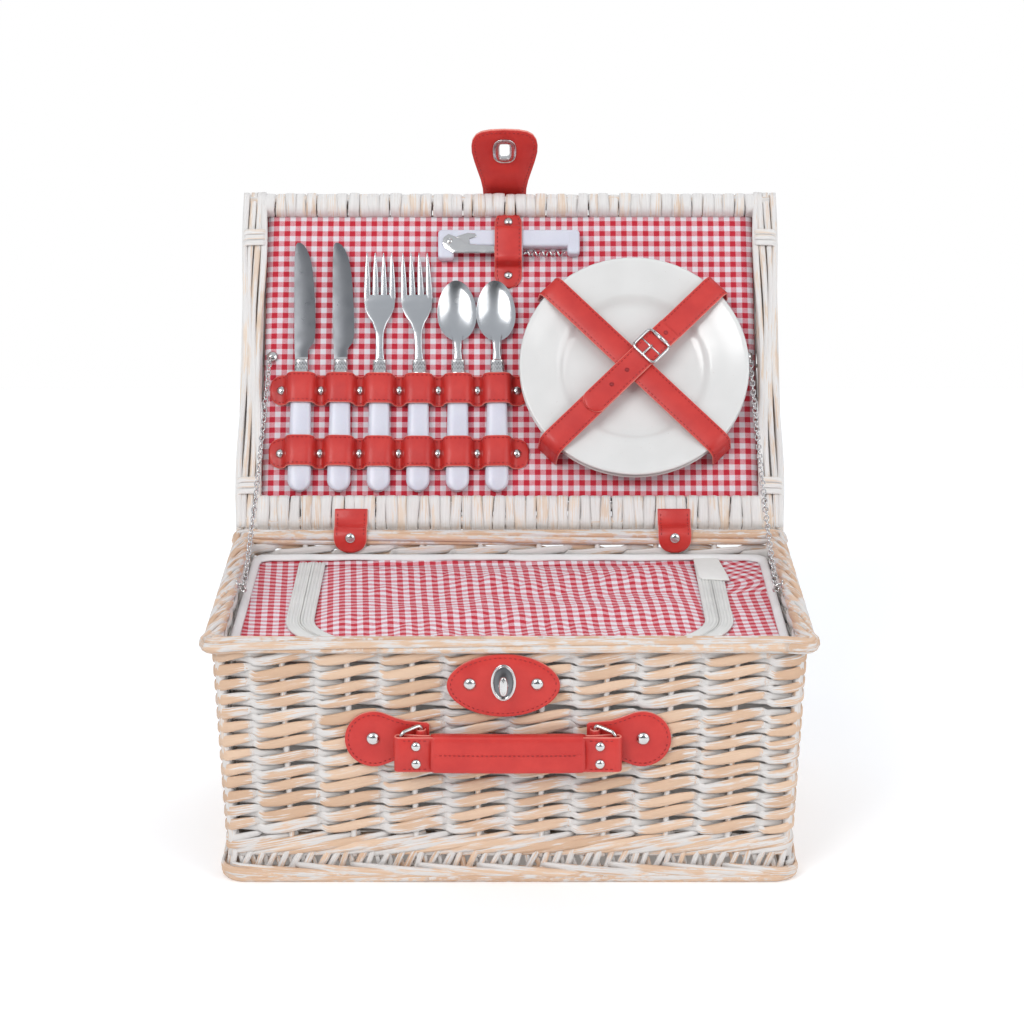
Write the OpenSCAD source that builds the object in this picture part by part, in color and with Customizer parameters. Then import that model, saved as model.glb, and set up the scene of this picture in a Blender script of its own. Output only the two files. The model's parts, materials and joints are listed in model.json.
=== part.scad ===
// Two-person wicker picnic basket: woven body with a cooler lining, and a hinged lid
// that carries cutlery, two plates and a waiter's corkscrew under leather straps.
// Origin: centre of the foot on the ground. +X right, +Y back, +Z up. Millimetres.
// The lid is modelled open, resting on its two chains.

/* [Basket body] */
// Width over the rim
rim_w = 400; // [380:1:440]
// Depth over the rim
rim_d = 265; // [265:1:285]
// Height of the body without the lid
body_h = 172; // [168:1:190]
// Thickness of the woven walls
wall_t = 7; // [6:0.5:8]
// Height of the rolled foot border
foot_h = 14; // [10:1:18]
// Height of the rolled rim border
rim_h = 11; // [9:1:14]

/* [Lid] */
// Thickness of the lid
lid_t = 20; // [18:1:24]
// How far the lid opens, from closed
open_angle = 122; // [95:1:125]
// Width of the four lid rails
lid_rail_w = 16; // [12:1:18]

/* [Tableware] */
// Distance between neighbouring handles
cutlery_pitch = 29.1; // [28.5:0.1:30]
// Height of the first handle's end above the hinge
handle_end = 29; // [26:1:32]
// Height of the upper end of each handle above the hinge
handle_top = 120; // [118:1:122]
// Radius of a plate
plate_r = 85; // [75:1:85]
// Thickness of a leather strap
leather_t = 1.6; // [1.2:0.1:2]

/* [Front fittings] */
// Sideways place of the lock and hasp
lock_x = -4; // [-8:1:8]
// Distance from the hasp's bend to its eyelet
eyelet_reach = 52; // [48:1:56]
// Forward bend of the hasp when the lid is open
hasp_bend = 68; // [30:1:80]
// Distance between the two bars of a handle ring
ring_span = 14; // [13:0.5:15]
// Thickness of ring wire
ring_wire = 3; // [2.5:0.5:3]

/* [Hidden] */
$fn = 48;
eps = 0.01;
gap = 0.3;

willow = "#d9c2a2";
pale_willow = "#e9e2da";
red_leather = "#b3262c";
chrome = "#c9ccd0";
ivory = "#efece4";
gingham = "#d98c8c";
canvas_white = "#f2efe8";

// Walls lean out from wall_z0, just above the foot, to wall_z1, under the rim
wall_z0 = foot_h + 11;
wall_z1 = body_h - rim_h;
half_x0 = rim_w / 2 - 11;
half_x1 = rim_w / 2 - 5;
half_y0 = rim_d / 2 - 8.5;
half_y1 = rim_d / 2 - 5;
post_d = 9;
border_w = 12;
function lean(z) = (z - wall_z0) / (wall_z1 - wall_z0);
function half_x(z) = half_x0 + (half_x1 - half_x0) * lean(z);
function half_y(z) = half_y0 + (half_y1 - half_y0) * lean(z);

// The hinge line runs along the rim's back top edge
hinge_y = rim_d / 2;
hinge_z = body_h + gap;
lid_len = rim_d;
lining_top = -10;
lining_t = 3;
weave_t = 6;

base_t = 6;
cooler_t = 6;
cooler_base_z = wall_z0 + base_t + 0.5;
cooler_w = 360;
cooler_d = 231;
cooler_top_z = body_h - 26;
top_t = 5;
hem_h = 7;
zip_half_x = 143;
zip_front_y = -88;
zip_back_y = 108;
zip_corner_r = 45;
zip_w = 9;
zip_t = 1.4;
zip_z = cooler_top_z + top_t;
slider_y = zip_front_y - 4.8;
slider_t = 3.4;

// Handle hardware, measured out from the wall
anchor_face_y = -(rim_d / 2 - 6);
anchor_t = 2.5;
ring_bar_x = 57;
ring_bar_y = anchor_face_y - 4.5;
ring_half_h = 15.5;
ring_z = 97;
ring_rest = 23.6;
handle_x = -1;
handle_z = 95;
handle_y = ring_bar_y - ring_span * sin(ring_rest);
handle_h = 24;
handle_t = 4;
loop_t = 8.1;
loop_slot_t = 4.1;
tab_in = 57;
loop_start = 62.3;
loop_in = 64.3;
loop_out = 72;
loop_end = 74;
grip_len = 101;

// Lock, measured out from the wall
lock_face_y = -half_y1;
patch_t = 2.5;
plate_t = 1.2;
boss_t = 0.6;
hasp_t = 2.2;
hasp_w = 32;
hasp_end_w = 49;
pivot_v = lid_len + 1.5;
pivot_n = -lid_t - hasp_t / 2;
lock_z = hinge_z - pivot_n - eyelet_reach;
lock_shaft_d = 5;
eyelet_t = 3.6;
button_y = -(pivot_v - hinge_y) - eyelet_t / 2 - 1.2;

first_fork = 2;
first_spoon = 4;
cutlery_x0 = -155;
strap_x0 = cutlery_x0 - 23;
strap_lower_v = 47;
strap_upper_v = 96;
cutlery_strap_w = 23.5;
handle_thick = 9;
arch_rise = handle_thick + gap;
plate_x = 92;
plate_v = 122;
plate_h = 14;
plate_nest = 5.8;
plate_strap_w = 19;
plate_strap_reach = 90;
stack_top = lining_top + plate_h + plate_nest;
opener_v = 222;
opener_strap_x = -1.2;
opener_strap_w = 21;
worm_x = 5;
worm_v = 215.5;
worm_d = 5.6;
lever_x = -48;
lever_v = opener_v - 6;
opener_t = 10;
cheek_t = 1.7;
pin_d = 1.9;
opener_pivots = [[worm_x, worm_v], [lever_x, lever_v]];
stud_x = 177;
stud_v = 135;
hook_x = 182.5;
hook_y = 4;
hook_z = 168;
hook_size = 8;
chain_d = 3.6;
strap_hinge_x = 118;
strap_hinge_w = 24;
strap_hinge_t = 2;
strap_hinge_y = hinge_y - 12 - gap / 2;
strap_rivet_d = 5.6;
patch_w = 74;
patch_h = 41;
patch_rivet_x = 22;
anchor_x = 88;
anchor_z = 101.8;
anchor_d = 38;
function cutlery_x(i) = cutlery_x0 + cutlery_pitch * i;

// ---- shared shapes ----

module rounded_rect(w, d, r) {
    square([w - 2 * r, d], center = true);
    square([w, d - 2 * r], center = true);
    for (sx = [-1, 1], sy = [-1, 1])
        translate([sx * (w / 2 - r), sy * (d / 2 - r)]) circle(r);
}

module slot_outline(w, h) {
    square([w, h - w], center = true);
    for (s = [-1, 1]) translate([0, s * (h - w) / 2]) circle(d = w);
}

module oval_outline(w, h, steps = 40) {
    polygon([for (i = [0:steps - 1]) [w / 2 * cos(360 * i / steps), h / 2 * sin(360 * i / steps)]]);
}

module ring(w, d, t, r) {
    difference() {
        rounded_rect(w, d, r);
        rounded_rect(w - 2 * t, d - 2 * t, r / 2);
    }
}

// Places children on a vertical face: local x across, local y up, local z out of the front
module facing_front(x, y, z) {
    translate([x, y, z]) rotate([90, 0, 0]) children();
}

// Local x across, local y up the open lid from the hinge, local z out of its inner face
module on_lid() {
    translate([0, hinge_y, hinge_z]) rotate([180 - open_angle, 0, 0]) children();
}

// A place on the open lid, in the basket's own frame
function lid_point(x, v, n) = [
    x,
    hinge_y - v * cos(open_angle) - n * sin(open_angle),
    hinge_z + v * sin(open_angle) - n * cos(open_angle)
];

module rod(a, b, d) {
    reach = norm(b - a);
    turn = [0, acos((b - a)[2] / reach), atan2((b - a)[1], (b - a)[0])];
    translate(a) rotate(turn) cylinder(d = d, h = reach);
}

module rivet(d = 7, h = 1.8) {
    cylinder(d = d, h = h);
}

// ---- basket body ----

// One wall facing -Y, between the corner posts
module wall_panel(half_len0, half_len1, out0, out1) {
    hull() {
        translate([-half_len0, -out0, wall_z0]) cube([2 * half_len0, wall_t, eps]);
        translate([-half_len1, -out1, wall_z1 - eps]) cube([2 * half_len1, wall_t, eps]);
    }
}

module long_wall() {
    wall_panel(half_x0 - post_d - gap, half_x1 - post_d - gap, half_y0, half_y1);
}

module front_wall() {
    color(willow) long_wall();
}

module back_wall() {
    color(willow) mirror([0, 1, 0]) long_wall();
}

module end_walls() {
    color(willow)
        for (turn = [-90, 90])
            rotate([0, 0, turn])
                wall_panel(half_y0 - post_d - gap, half_y1 - post_d - gap, half_x0, half_x1);
}

module corner_posts() {
    inset = post_d / 2;
    color(willow)
        for (sx = [-1, 1], sy = [-1, 1])
            hull() {
                translate([sx * (half_x0 - inset), sy * (half_y0 - inset), wall_z0])
                    cylinder(d = post_d, h = eps, $fn = 24);
                translate([sx * (half_x1 - inset), sy * (half_y1 - inset), wall_z1 - eps])
                    cylinder(d = post_d, h = eps, $fn = 24);
            }
}

module base_panel() {
    color(willow)
        translate([0, 0, wall_z0])
            linear_extrude(base_t)
                rounded_rect(2 * (half_x0 - wall_t - gap), 2 * (half_y0 - wall_t - gap), 2);
}

module rim_border() {
    color(pale_willow) translate([0, 0, wall_z1]) linear_extrude(rim_h) ring(rim_w, rim_d, border_w, 8);
}

// Slanted sticks carry the walls on the foot border, leaving a see-through row
module foot_stick_row(half_len, out) {
    pitch = 20;
    count = floor((2 * half_len - 24) / pitch);
    rise = wall_z0 - foot_h;
    for (i = [0:count])
        translate([(i - count / 2) * pitch, -out + 5.5, foot_h])
            rotate([90, 0, 0]) linear_extrude(4) polygon([[-5, 0], [-1, 0], [5, rise], [1, rise]]);
}

module foot_border() {
    color(willow) {
        linear_extrude(foot_h) ring(rim_w - 15, rim_d - 10, border_w, 8);
        for (side = [0, 180]) {
            rotate([0, 0, side]) foot_stick_row(half_x0, half_y0);
            rotate([0, 0, side + 90]) foot_stick_row(half_y0, half_x0);
        }
    }
}

// ---- lock on the front wall ----

module lock_patch() {
    color(red_leather)
        facing_front(lock_x, lock_face_y, lock_z - 1)
            linear_extrude(patch_t)
                difference() {
                    oval_outline(patch_w, patch_h);
                    translate([0, 1]) circle(d = lock_shaft_d + 2 * gap);
                }
}

module lock_plate() {
    color(chrome)
        facing_front(lock_x, lock_face_y - patch_t, lock_z)
            difference() {
                union() {
                    linear_extrude(plate_t) slot_outline(16, 25);
                    linear_extrude(plate_t + boss_t) slot_outline(10, 17);
                }
                translate([0, 0, -1]) cylinder(d = lock_shaft_d + 2 * gap, h = 5);
            }
}

module lock_button() {
    color(chrome) {
        facing_front(lock_x, lock_face_y, lock_z)
            cylinder(d = lock_shaft_d, h = lock_face_y - button_y + eps);
        facing_front(lock_x, button_y, lock_z) linear_extrude(3) slot_outline(5, 13);
    }
}

// ---- carrying handle ----

// A round patch on the wall narrows to a tongue that runs in behind the handle,
// where its end loops round the ring's pivot bar
module anchor() {
    loop_h = 26;
    loop_w = 8;
    loop_proud = 7.65;
    tongue_h = 22;
    tongue_end = ring_bar_x - loop_w / 2 - 1.5;
    facing_front(0, anchor_face_y, anchor_z)
        linear_extrude(anchor_t) {
            translate([-anchor_x, 0]) circle(d = anchor_d);
            polygon([
                [-anchor_x, -anchor_d / 2], [-70, -13], [-tongue_end, -tongue_h / 2],
                [-tongue_end, tongue_h / 2], [-70, 13], [-anchor_x, anchor_d / 2]
            ]);
        }
    translate([-ring_bar_x, 0, ring_z])
        difference() {
            translate([-loop_w / 2, anchor_face_y - loop_proud, -loop_h / 2]) cube([loop_w, loop_proud, loop_h]);
            translate([0, ring_bar_y, -loop_h / 2 - 1]) cylinder(d = ring_wire + 3 * gap, h = loop_h + 2);
        }
}

module both_ends() {
    translate([handle_x, 0, 0]) {
        children();
        mirror([1, 0, 0]) children();
    }
}

module handle_anchors() {
    color(red_leather) both_ends() anchor();
}

// A rectangle that swings on its inner bar: two upright bars and two flat arms
module handle_ring() {
    translate([-ring_bar_x, ring_bar_y, ring_z])
        rotate([0, 0, 180 + ring_rest]) {
            for (x = [0, ring_span])
                translate([x, 0, 0]) cylinder(d = ring_wire, h = 2 * ring_half_h - ring_wire, center = true);
            for (z = [-ring_half_h, ring_half_h])
                translate([ring_span / 2, 0, z])
                    rotate([0, 0, 90])
                        linear_extrude(ring_wire, center = true)
                            slot_outline(ring_wire, ring_span + ring_wire);
        }
}

module handle_ring_left() {
    color(chrome) translate([handle_x, 0, 0]) handle_ring();
}

module handle_ring_right() {
    color(chrome) translate([handle_x, 0, 0]) mirror([1, 0, 0]) handle_ring();
}

module strap_bar() {
    cube([2 * loop_start, handle_t, handle_h], center = true);
}

// A flat bar whose two ends turn back over its front in loops round the rings
module handle_strap() {
    color(red_leather)
        translate([handle_x, handle_y, handle_z])
            difference() {
                union() {
                    strap_bar();
                    for (s = [-1, 1]) {
                        translate([s * (loop_start + loop_end) / 2, 0, 0])
                            cube([loop_end - loop_start, loop_t, handle_h], center = true);
                        translate([s * (tab_in + loop_end) / 2, -loop_t / 4, 0])
                            cube([loop_end - tab_in, loop_t / 2, handle_h], center = true);
                    }
                }
                for (s = [-1, 1])
                    translate([s * (loop_in + loop_out) / 2, 0, 0])
                        cube([loop_out - loop_in, loop_slot_t, handle_h + 2], center = true);
            }
}

module handle_grip() {
    color(red_leather)
        translate([handle_x, handle_y, handle_z])
            difference() {
                rotate([0, 90, 0]) linear_extrude(grip_len, center = true) rounded_rect(26.5, 9.6, 4);
                strap_bar();
            }
}

module handle_rivets() {
    rivet_x = tab_in + 3;
    color(chrome)
        translate([handle_x, handle_y - loop_t / 2, handle_z])
            for (s = [-1, 1], up = [-6, 6])
                translate([s * rivet_x, 0, up]) rotate([90, 0, 0]) rivet(d = 5.5, h = 1.5);
}

// ---- fasteners of the body ----

module body_rivets() {
    color(chrome)
        for (s = [-1, 1]) {
            facing_front(lock_x + s * patch_rivet_x, lock_face_y - patch_t, lock_z - 1) rivet(h = 1.4);
            facing_front(handle_x + s * (anchor_x + 2), anchor_face_y - anchor_t, anchor_z + 0.7) rivet();
            facing_front(s * strap_hinge_x, strap_hinge_y - strap_hinge_t, body_h - 5) rivet();
        }
}

// ---- hinge straps and chains ----

// Runs up the inside of the rim from just above the cooler's hem, then back over the rim
module hinge_strap() {
    x0 = strap_hinge_x - strap_hinge_w / 2;
    z0 = zip_z + hem_h + gap;
    translate([x0, strap_hinge_y - strap_hinge_t, z0])
        cube([strap_hinge_w, strap_hinge_t, body_h + strap_hinge_t - z0]);
    translate([x0, strap_hinge_y - eps, body_h]) cube([strap_hinge_w, 11, strap_hinge_t]);
}

module hinge_straps() {
    color(red_leather) {
        hinge_strap();
        mirror([1, 0, 0]) hinge_strap();
    }
}

module chain_hooks() {
    color(chrome)
        for (s = [-1, 1])
            translate([s * (rim_w / 2 - border_w - 1.5), hook_y, hook_z - 2])
                cube([3, hook_size, hook_size], center = true);
}

// Each chain fills the space between its stud on the lid and its hook under the rim
module lid_chains() {
    color(chrome)
        for (s = [-1, 1]) {
            stud = lid_point(s * (stud_x + 2.4), stud_v - 4, -3);
            rod(stud, [s * hook_x, hook_y, hook_z], chain_d);
        }
}

// ---- cooler lining ----

module cooler_shell() {
    height = cooler_top_z - cooler_base_z;
    color(canvas_white)
        translate([0, 0, cooler_base_z])
            difference() {
                linear_extrude(height) rounded_rect(cooler_w, cooler_d, 12);
                translate([0, 0, cooler_t])
                    linear_extrude(height) rounded_rect(cooler_w - 2 * cooler_t, cooler_d - 2 * cooler_t, 8);
            }
}

// The part of the top that the zip runs round, with two round front corners
module flap_outline(out = 0) {
    half_w = zip_half_x + out;
    front = zip_front_y - out;
    r = zip_corner_r + out;
    translate([-half_w, front + r]) square([2 * half_w, zip_back_y - front - r]);
    translate([-half_w + r, front]) square([2 * (half_w - r), r + eps]);
    for (s = [-1, 1]) translate([s * (half_w - r), front + r]) circle(r);
}

module cooler_top() {
    top_w = 2 * (half_x(cooler_top_z) - wall_t) - 3;
    top_d = 2 * (half_y(cooler_top_z) - wall_t) - 3;
    color(gingham)
        translate([0, 0, cooler_top_z]) {
            linear_extrude(top_t)
                difference() {
                    rounded_rect(top_w, top_d, 8);
                    flap_outline(gap);
                    translate([-zip_half_x, zip_back_y - 1]) square([2 * zip_half_x, 1 + gap]);
                }
            translate([0, 0, top_t]) linear_extrude(hem_h) ring(top_w, top_d, 1.8, 8);
        }
}

module zip_tape() {
    color(canvas_white)
        translate([0, 0, zip_z])
            linear_extrude(zip_t)
                difference() {
                    flap_outline(zip_w);
                    flap_outline(gap);
                }
}

module cooler_flap() {
    color(gingham) translate([0, 0, cooler_top_z + 1]) linear_extrude(top_t - 1) flap_outline(-gap);
}

module flap_zip_tape() {
    color(canvas_white)
        translate([0, 0, zip_z])
            linear_extrude(zip_t)
                difference() {
                    flap_outline(-gap);
                    translate([0, eps]) flap_outline(-zip_w);
                }
}

// Sits on the fixed half of the zip, with a bail on each side for the pull
module zip_slider() {
    color(chrome)
        translate([0, slider_y, zip_z + zip_t + gap]) {
            linear_extrude(slider_t) rounded_rect(13, 8, 2);
            for (s = [-1, 1])
                translate([0, s * 3, slider_t]) rotate([90, 0, 0]) cylinder(d = 3, h = 1.2, center = true);
        }
}

module zip_pull() {
    color(chrome)
        translate([0, slider_y, zip_z + zip_t + slider_t + 1 + gap])
            linear_extrude(1.4)
                difference() {
                    translate([12, 0]) rounded_rect(24, 4, 1.5);
                    translate([20, 0]) circle(d = 2);
                }
}

// ---- lid ----

module lid_weave() {
    color(pale_willow)
        on_lid()
            translate([-rim_w / 2 + lid_rail_w, lid_rail_w, lining_top - lining_t - weave_t])
                cube([rim_w - 2 * lid_rail_w, lid_len - 2 * lid_rail_w, weave_t]);
}

module lid_cross_rails() {
    color(pale_willow)
        on_lid()
            for (v = [0.5, lid_len - lid_rail_w])
                translate([-rim_w / 2, v, -lid_t]) cube([rim_w, lid_rail_w - 0.5, lid_t]);
}

module lid_side_rails() {
    color(pale_willow)
        on_lid()
            for (x = [-rim_w / 2, rim_w / 2 - lid_rail_w + gap])
                translate([x, lid_rail_w, -lid_t]) cube([lid_rail_w - gap, lid_len - 2 * lid_rail_w, lid_t]);
}

module lid_lining() {
    color(gingham)
        on_lid()
            translate([-rim_w / 2 + lid_rail_w, lid_rail_w + gap, lining_top - lining_t])
                cube([rim_w - 2 * lid_rail_w, lid_len - 2 * lid_rail_w - 2 * gap, lining_t]);
}

module lid_rivets() {
    color(chrome)
        on_lid() {
            for (i = [0:6], v = [strap_lower_v, strap_upper_v])
                translate([cutlery_x(i - 0.5), v + cutlery_strap_w / 2, lining_top + leather_t])
                    rivet(strap_rivet_d, 1.4);
            for (v = [200.6, 240.5])
                translate([opener_strap_x, v, lining_top + leather_t]) rivet(strap_rivet_d, 1.4);
            for (s = [-1, 1]) translate([s * stud_x, stud_v, lining_top]) rivet(d = 8, h = 2.5);
        }
}

// ---- leather straps on the lid ----

// Leather lies on the lining and rises in a loop over each handle
function arch_line(i, lift) = [
    for (p = [[-10.8, 0], [-9.4, 0.82], [-8.6, 1], [8.6, 1], [9.4, 0.82], [10.8, 0]])
        [cutlery_x(i) + p[0] * (lift > 0 ? 1.08 : 1), (p[1] * arch_rise) + lift]
];

module cutlery_strap(v) {
    outer = [for (i = [0:5]) each arch_line(i, leather_t)];
    inner = [for (i = [5:-1:0]) each [for (k = [5:-1:0]) arch_line(i, 0)[k]]];
    x1 = cutlery_x(5.5) + 9;
    ends = [[x1, leather_t], [x1, 0]];
    color(red_leather)
        on_lid()
            translate([0, v, lining_top])
                rotate([90, 0, 0])
                    translate([0, 0, -cutlery_strap_w])
                        linear_extrude(cutlery_strap_w)
                            polygon(concat([[strap_x0, 0], [strap_x0, leather_t]], outer, ends, inner));
}

module cutlery_strap_upper() {
    cutlery_strap(strap_upper_v);
}

module cutlery_strap_lower() {
    cutlery_strap(strap_lower_v);
}

module opener_strap() {
    path = [[190, 0], [207, 0], [209.4, 8], [210.4, 10.4], [234.6, 10.4], [235.4, 8], [236, 0], [248.5, 0]];
    function swell(p) = p[1] > 0 ? (p[0] < opener_v ? -leather_t : leather_t) : 0;
    top = [for (p = path) [p[0] + swell(p), p[1] + leather_t]];
    back = [for (i = [len(top) - 1:-1:0]) top[i]];
    color(red_leather)
        on_lid()
            translate([opener_strap_x + opener_strap_w / 2, 0, lining_top])
                rotate([0, -90, 0])
                    linear_extrude(opener_strap_w)
                        polygon([for (p = concat(path, back)) [p[1], p[0]]]);
}

// Bands over the stacked plates run from lining to lining just outside the plate edge
module plate_band(angle, level) {
    on_lid()
        translate([plate_x, plate_v, 0])
            rotate([0, 0, angle]) {
                translate([-plate_strap_reach, -plate_strap_w / 2, level])
                    cube([2 * plate_strap_reach, plate_strap_w, leather_t]);
                for (x = [-plate_strap_reach, plate_strap_reach - leather_t])
                    translate([x, -plate_strap_w / 2, lining_top])
                        cube([leather_t, plate_strap_w, level - lining_top]);
                children();
            }
}

module plate_strap_plain() {
    color(red_leather) plate_band(-45, stack_top);
}

module plate_strap_buckled() {
    level = stack_top + leather_t + 0.2;
    color(red_leather)
        plate_band(45, level)
            translate([-40, 0, level + leather_t]) {
                linear_extrude(leather_t) translate([0, -plate_strap_w / 2]) square([45, plate_strap_w]);
                cylinder(d = plate_strap_w, h = leather_t);
            }
}

module strap_buckle() {
    color(chrome)
        on_lid()
            translate([plate_x, plate_v, stack_top + 2 * leather_t + 0.2])
                rotate([0, 0, 45])
                    translate([17.7, 0, 0]) {
                        linear_extrude(2) ring(21, 23, 2.4, 3);
                        translate([-9.5, -0.9, 0.4]) cube([19, 1.8, 1.6]);
                    }
}

// ---- tableware ----

module plate(drop, level) {
    color(ivory)
        on_lid()
            translate([plate_x, plate_v - drop, level])
                rotate_extrude($fn = 96)
                    polygon([
                        [0, 2], [0, 5.5], [0.59 * plate_r, 5.5], [0.73 * plate_r, 7.5], [plate_r, plate_h],
                        [plate_r, plate_h - 2.4], [0.7 * plate_r, 4], [46, 0], [42, 0], [41, 2]
                    ]);
}

module plate_front() {
    plate(0, lining_top + plate_nest);
}

module plate_back() {
    plate(0.2, lining_top);
}

// Handle tapers up from a round end
module cutlery_handle(i) {
    wide = 17.4;
    slim = 14.4;
    color(ivory)
        on_lid()
            translate([cutlery_x(i), 0, lining_top])
                linear_extrude(handle_thick) {
                    translate([0, handle_end + wide / 2]) circle(d = wide);
                    polygon([
                        [-wide / 2, handle_end + wide / 2], [wide / 2, handle_end + wide / 2],
                        [slim / 2, handle_top], [-slim / 2, handle_top]
                    ]);
                }
}

// Steel end of a piece of cutlery: a collar on the handle, then the working shape
module steel(i) {
    color(chrome)
        on_lid()
            translate([cutlery_x(i), handle_top, lining_top]) {
                translate([-6.8, 0, 0.5]) cube([13.6, 11, 8]);
                translate([0, 11, 3.5]) linear_extrude(2) children();
            }
}

module knife_shape() {
    polygon([[-6, 0], [-8, 6], [-8, 78], [-6, 88], [-2, 93], [2, 90], [7, 76], [8, 60], [8, 6], [5, 0]]);
}

module fork_shape() {
    tine_pitch = 6.5;
    polygon([[-3, 0], [3, 0], [3, 24], [11.5, 40], [11.5, 50], [-11.5, 50], [-11.5, 40], [-3, 24]]);
    for (k = [-1.5:1:1.5]) translate([k * tine_pitch - 1.6, 49]) square([3.2, 35]);
}

module spoon_shape() {
    polygon([[-3, 0], [3, 0], [3, 20], [-3, 20]]);
    translate([0, 38.5]) oval_outline(28, 47);
}

module knife_left_handle() { cutlery_handle(0); }
module knife_left_blade() { steel(0) knife_shape(); }
module knife_right_handle() { cutlery_handle(1); }
module knife_right_blade() { steel(1) knife_shape(); }
module fork_left_handle() { cutlery_handle(first_fork); }
module fork_left_head() { steel(first_fork) fork_shape(); }
module fork_right_handle() { cutlery_handle(first_fork + 1); }
module fork_right_head() { steel(first_fork + 1) fork_shape(); }
module spoon_left_handle() { cutlery_handle(first_spoon); }
module spoon_left_bowl() { steel(first_spoon) spoon_shape(); }
module spoon_right_handle() { cutlery_handle(first_spoon + 1); }
module spoon_right_bowl() { steel(first_spoon + 1) spoon_shape(); }

// ---- corkscrew ----

module opener_handle() {
    color(ivory)
        on_lid()
            translate([0, 0, lining_top])
                difference() {
                    union() {
                        linear_extrude(opener_t) {
                            translate([-0.5, opener_v + 5]) rounded_rect(106, 13, 5);
                            translate([lever_x, opener_v]) rounded_rect(11, 22, 4);
                            translate([48, opener_v + 1]) rounded_rect(9, 18, 4);
                        }
                        for (n = [0, opener_t - cheek_t])
                            translate([worm_x - 4, worm_v - 4, n]) cube([8, 12, cheek_t]);
                    }
                    for (p = opener_pivots)
                        translate([p[0], p[1], -1]) cylinder(d = pin_d + 0.1, h = opener_t + 2);
                    translate([lever_x - 2.5, lever_v - 6, 2]) cube([10.2, 10, 6]);
                }
}

module opener_lever() {
    color(chrome)
        on_lid()
            translate([0, 0, lining_top + 2 + gap])
                difference() {
                    linear_extrude(5.4)
                        translate([lever_x, lever_v]) {
                            circle(d = 5);
                            translate([0, -2.5]) square([42, 5]);
                            translate([12, -4.5]) square([10, 4]);
                        }
                    translate([lever_x, lever_v, -1]) cylinder(d = pin_d + 0.1, h = 8);
                }
}

module opener_pins() {
    color(chrome)
        on_lid()
            for (p = opener_pivots)
                translate([p[0], p[1], lining_top + 0.2]) cylinder(d = pin_d, h = opener_t - 0.4);
}

module opener_worm() {
    color(chrome)
        on_lid()
            translate([worm_x, worm_v, lining_top + 5]) {
                difference() {
                    cylinder(d = 6, h = 5.8, center = true);
                    cylinder(d = 2.5, h = 8, center = true);
                }
                translate([2.5, 0, 0]) rotate([0, 90, 0]) cylinder(d = 2, h = 5);
                translate([7, 0, 0]) rotate([0, 90, 0]) cylinder(d = worm_d, h = 28);
                translate([35, 0, 0]) rotate([0, 90, 0]) cylinder(d1 = worm_d, d2 = 0.6, h = 3);
            }
}

// ---- hasp ----

// The root is stitched to the lid's outer face and the flap bends over the front rail
module hasp_root() {
    color(red_leather)
        on_lid()
            translate([lock_x - hasp_w / 2, pivot_v - 42, pivot_n - hasp_t / 2]) cube([hasp_w, 40, hasp_t]);
}

// Local y runs along the flap from the bend
module on_hasp() {
    on_lid() translate([lock_x, pivot_v, pivot_n]) rotate([hasp_bend, 0, 0]) children();
}

module hasp_flap() {
    end_v = eyelet_reach - 3;
    color(red_leather)
        on_hasp()
            translate([0, 0, -hasp_t / 2])
                linear_extrude(hasp_t)
                    difference() {
                        union() {
                            polygon([
                                [-hasp_w / 2, 1.5], [hasp_w / 2, 1.5], [hasp_end_w / 2, end_v - 1],
                                [-hasp_end_w / 2, end_v - 1]
                            ]);
                            translate([0, end_v]) circle(d = hasp_end_w);
                        }
                        translate([0, eyelet_reach]) slot_outline(12, 20);
                    }
}

module hasp_eyelet() {
    flange_t = (eyelet_t - hasp_t) / 2;
    color(chrome)
        on_hasp()
            translate([0, eyelet_reach, -eyelet_t / 2])
                difference() {
                    union() {
                        linear_extrude(eyelet_t) slot_outline(12, 20);
                        for (z = [0, eyelet_t - flange_t])
                            translate([0, 0, z]) linear_extrude(flange_t) slot_outline(18, 24);
                    }
                    translate([0, 0, -1]) linear_extrude(eyelet_t + 2) slot_outline(7.4, 15.4);
                }
}

front_wall();
back_wall();
end_walls();
corner_posts();
base_panel();
rim_border();
foot_border();
lock_patch();
lock_plate();
handle_anchors();
body_rivets();
hinge_straps();
chain_hooks();
lid_chains();
cooler_shell();
cooler_top();
zip_tape();
lock_button();
handle_ring_left();
handle_ring_right();
handle_strap();
handle_grip();
handle_rivets();
cooler_flap();
flap_zip_tape();
zip_slider();
zip_pull();
lid_weave();
lid_cross_rails();
lid_side_rails();
lid_lining();
lid_rivets();
cutlery_strap_upper();
cutlery_strap_lower();
opener_strap();
plate_strap_plain();
plate_strap_buckled();
strap_buckle();
plate_front();
plate_back();
opener_handle();
opener_lever();
opener_pins();
opener_worm();
hasp_root();
hasp_flap();
hasp_eyelet();
knife_left_handle();
knife_left_blade();
knife_right_handle();
knife_right_blade();
fork_left_handle();
fork_left_head();
fork_right_handle();
fork_right_head();
spoon_left_handle();
spoon_left_bowl();
spoon_right_handle();
spoon_right_bowl();
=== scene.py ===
"""Looks for a two-person wicker picnic basket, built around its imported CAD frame."""
import json
import math

import bmesh
import bpy
import numpy as np
from mathutils import Matrix, Vector


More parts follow.
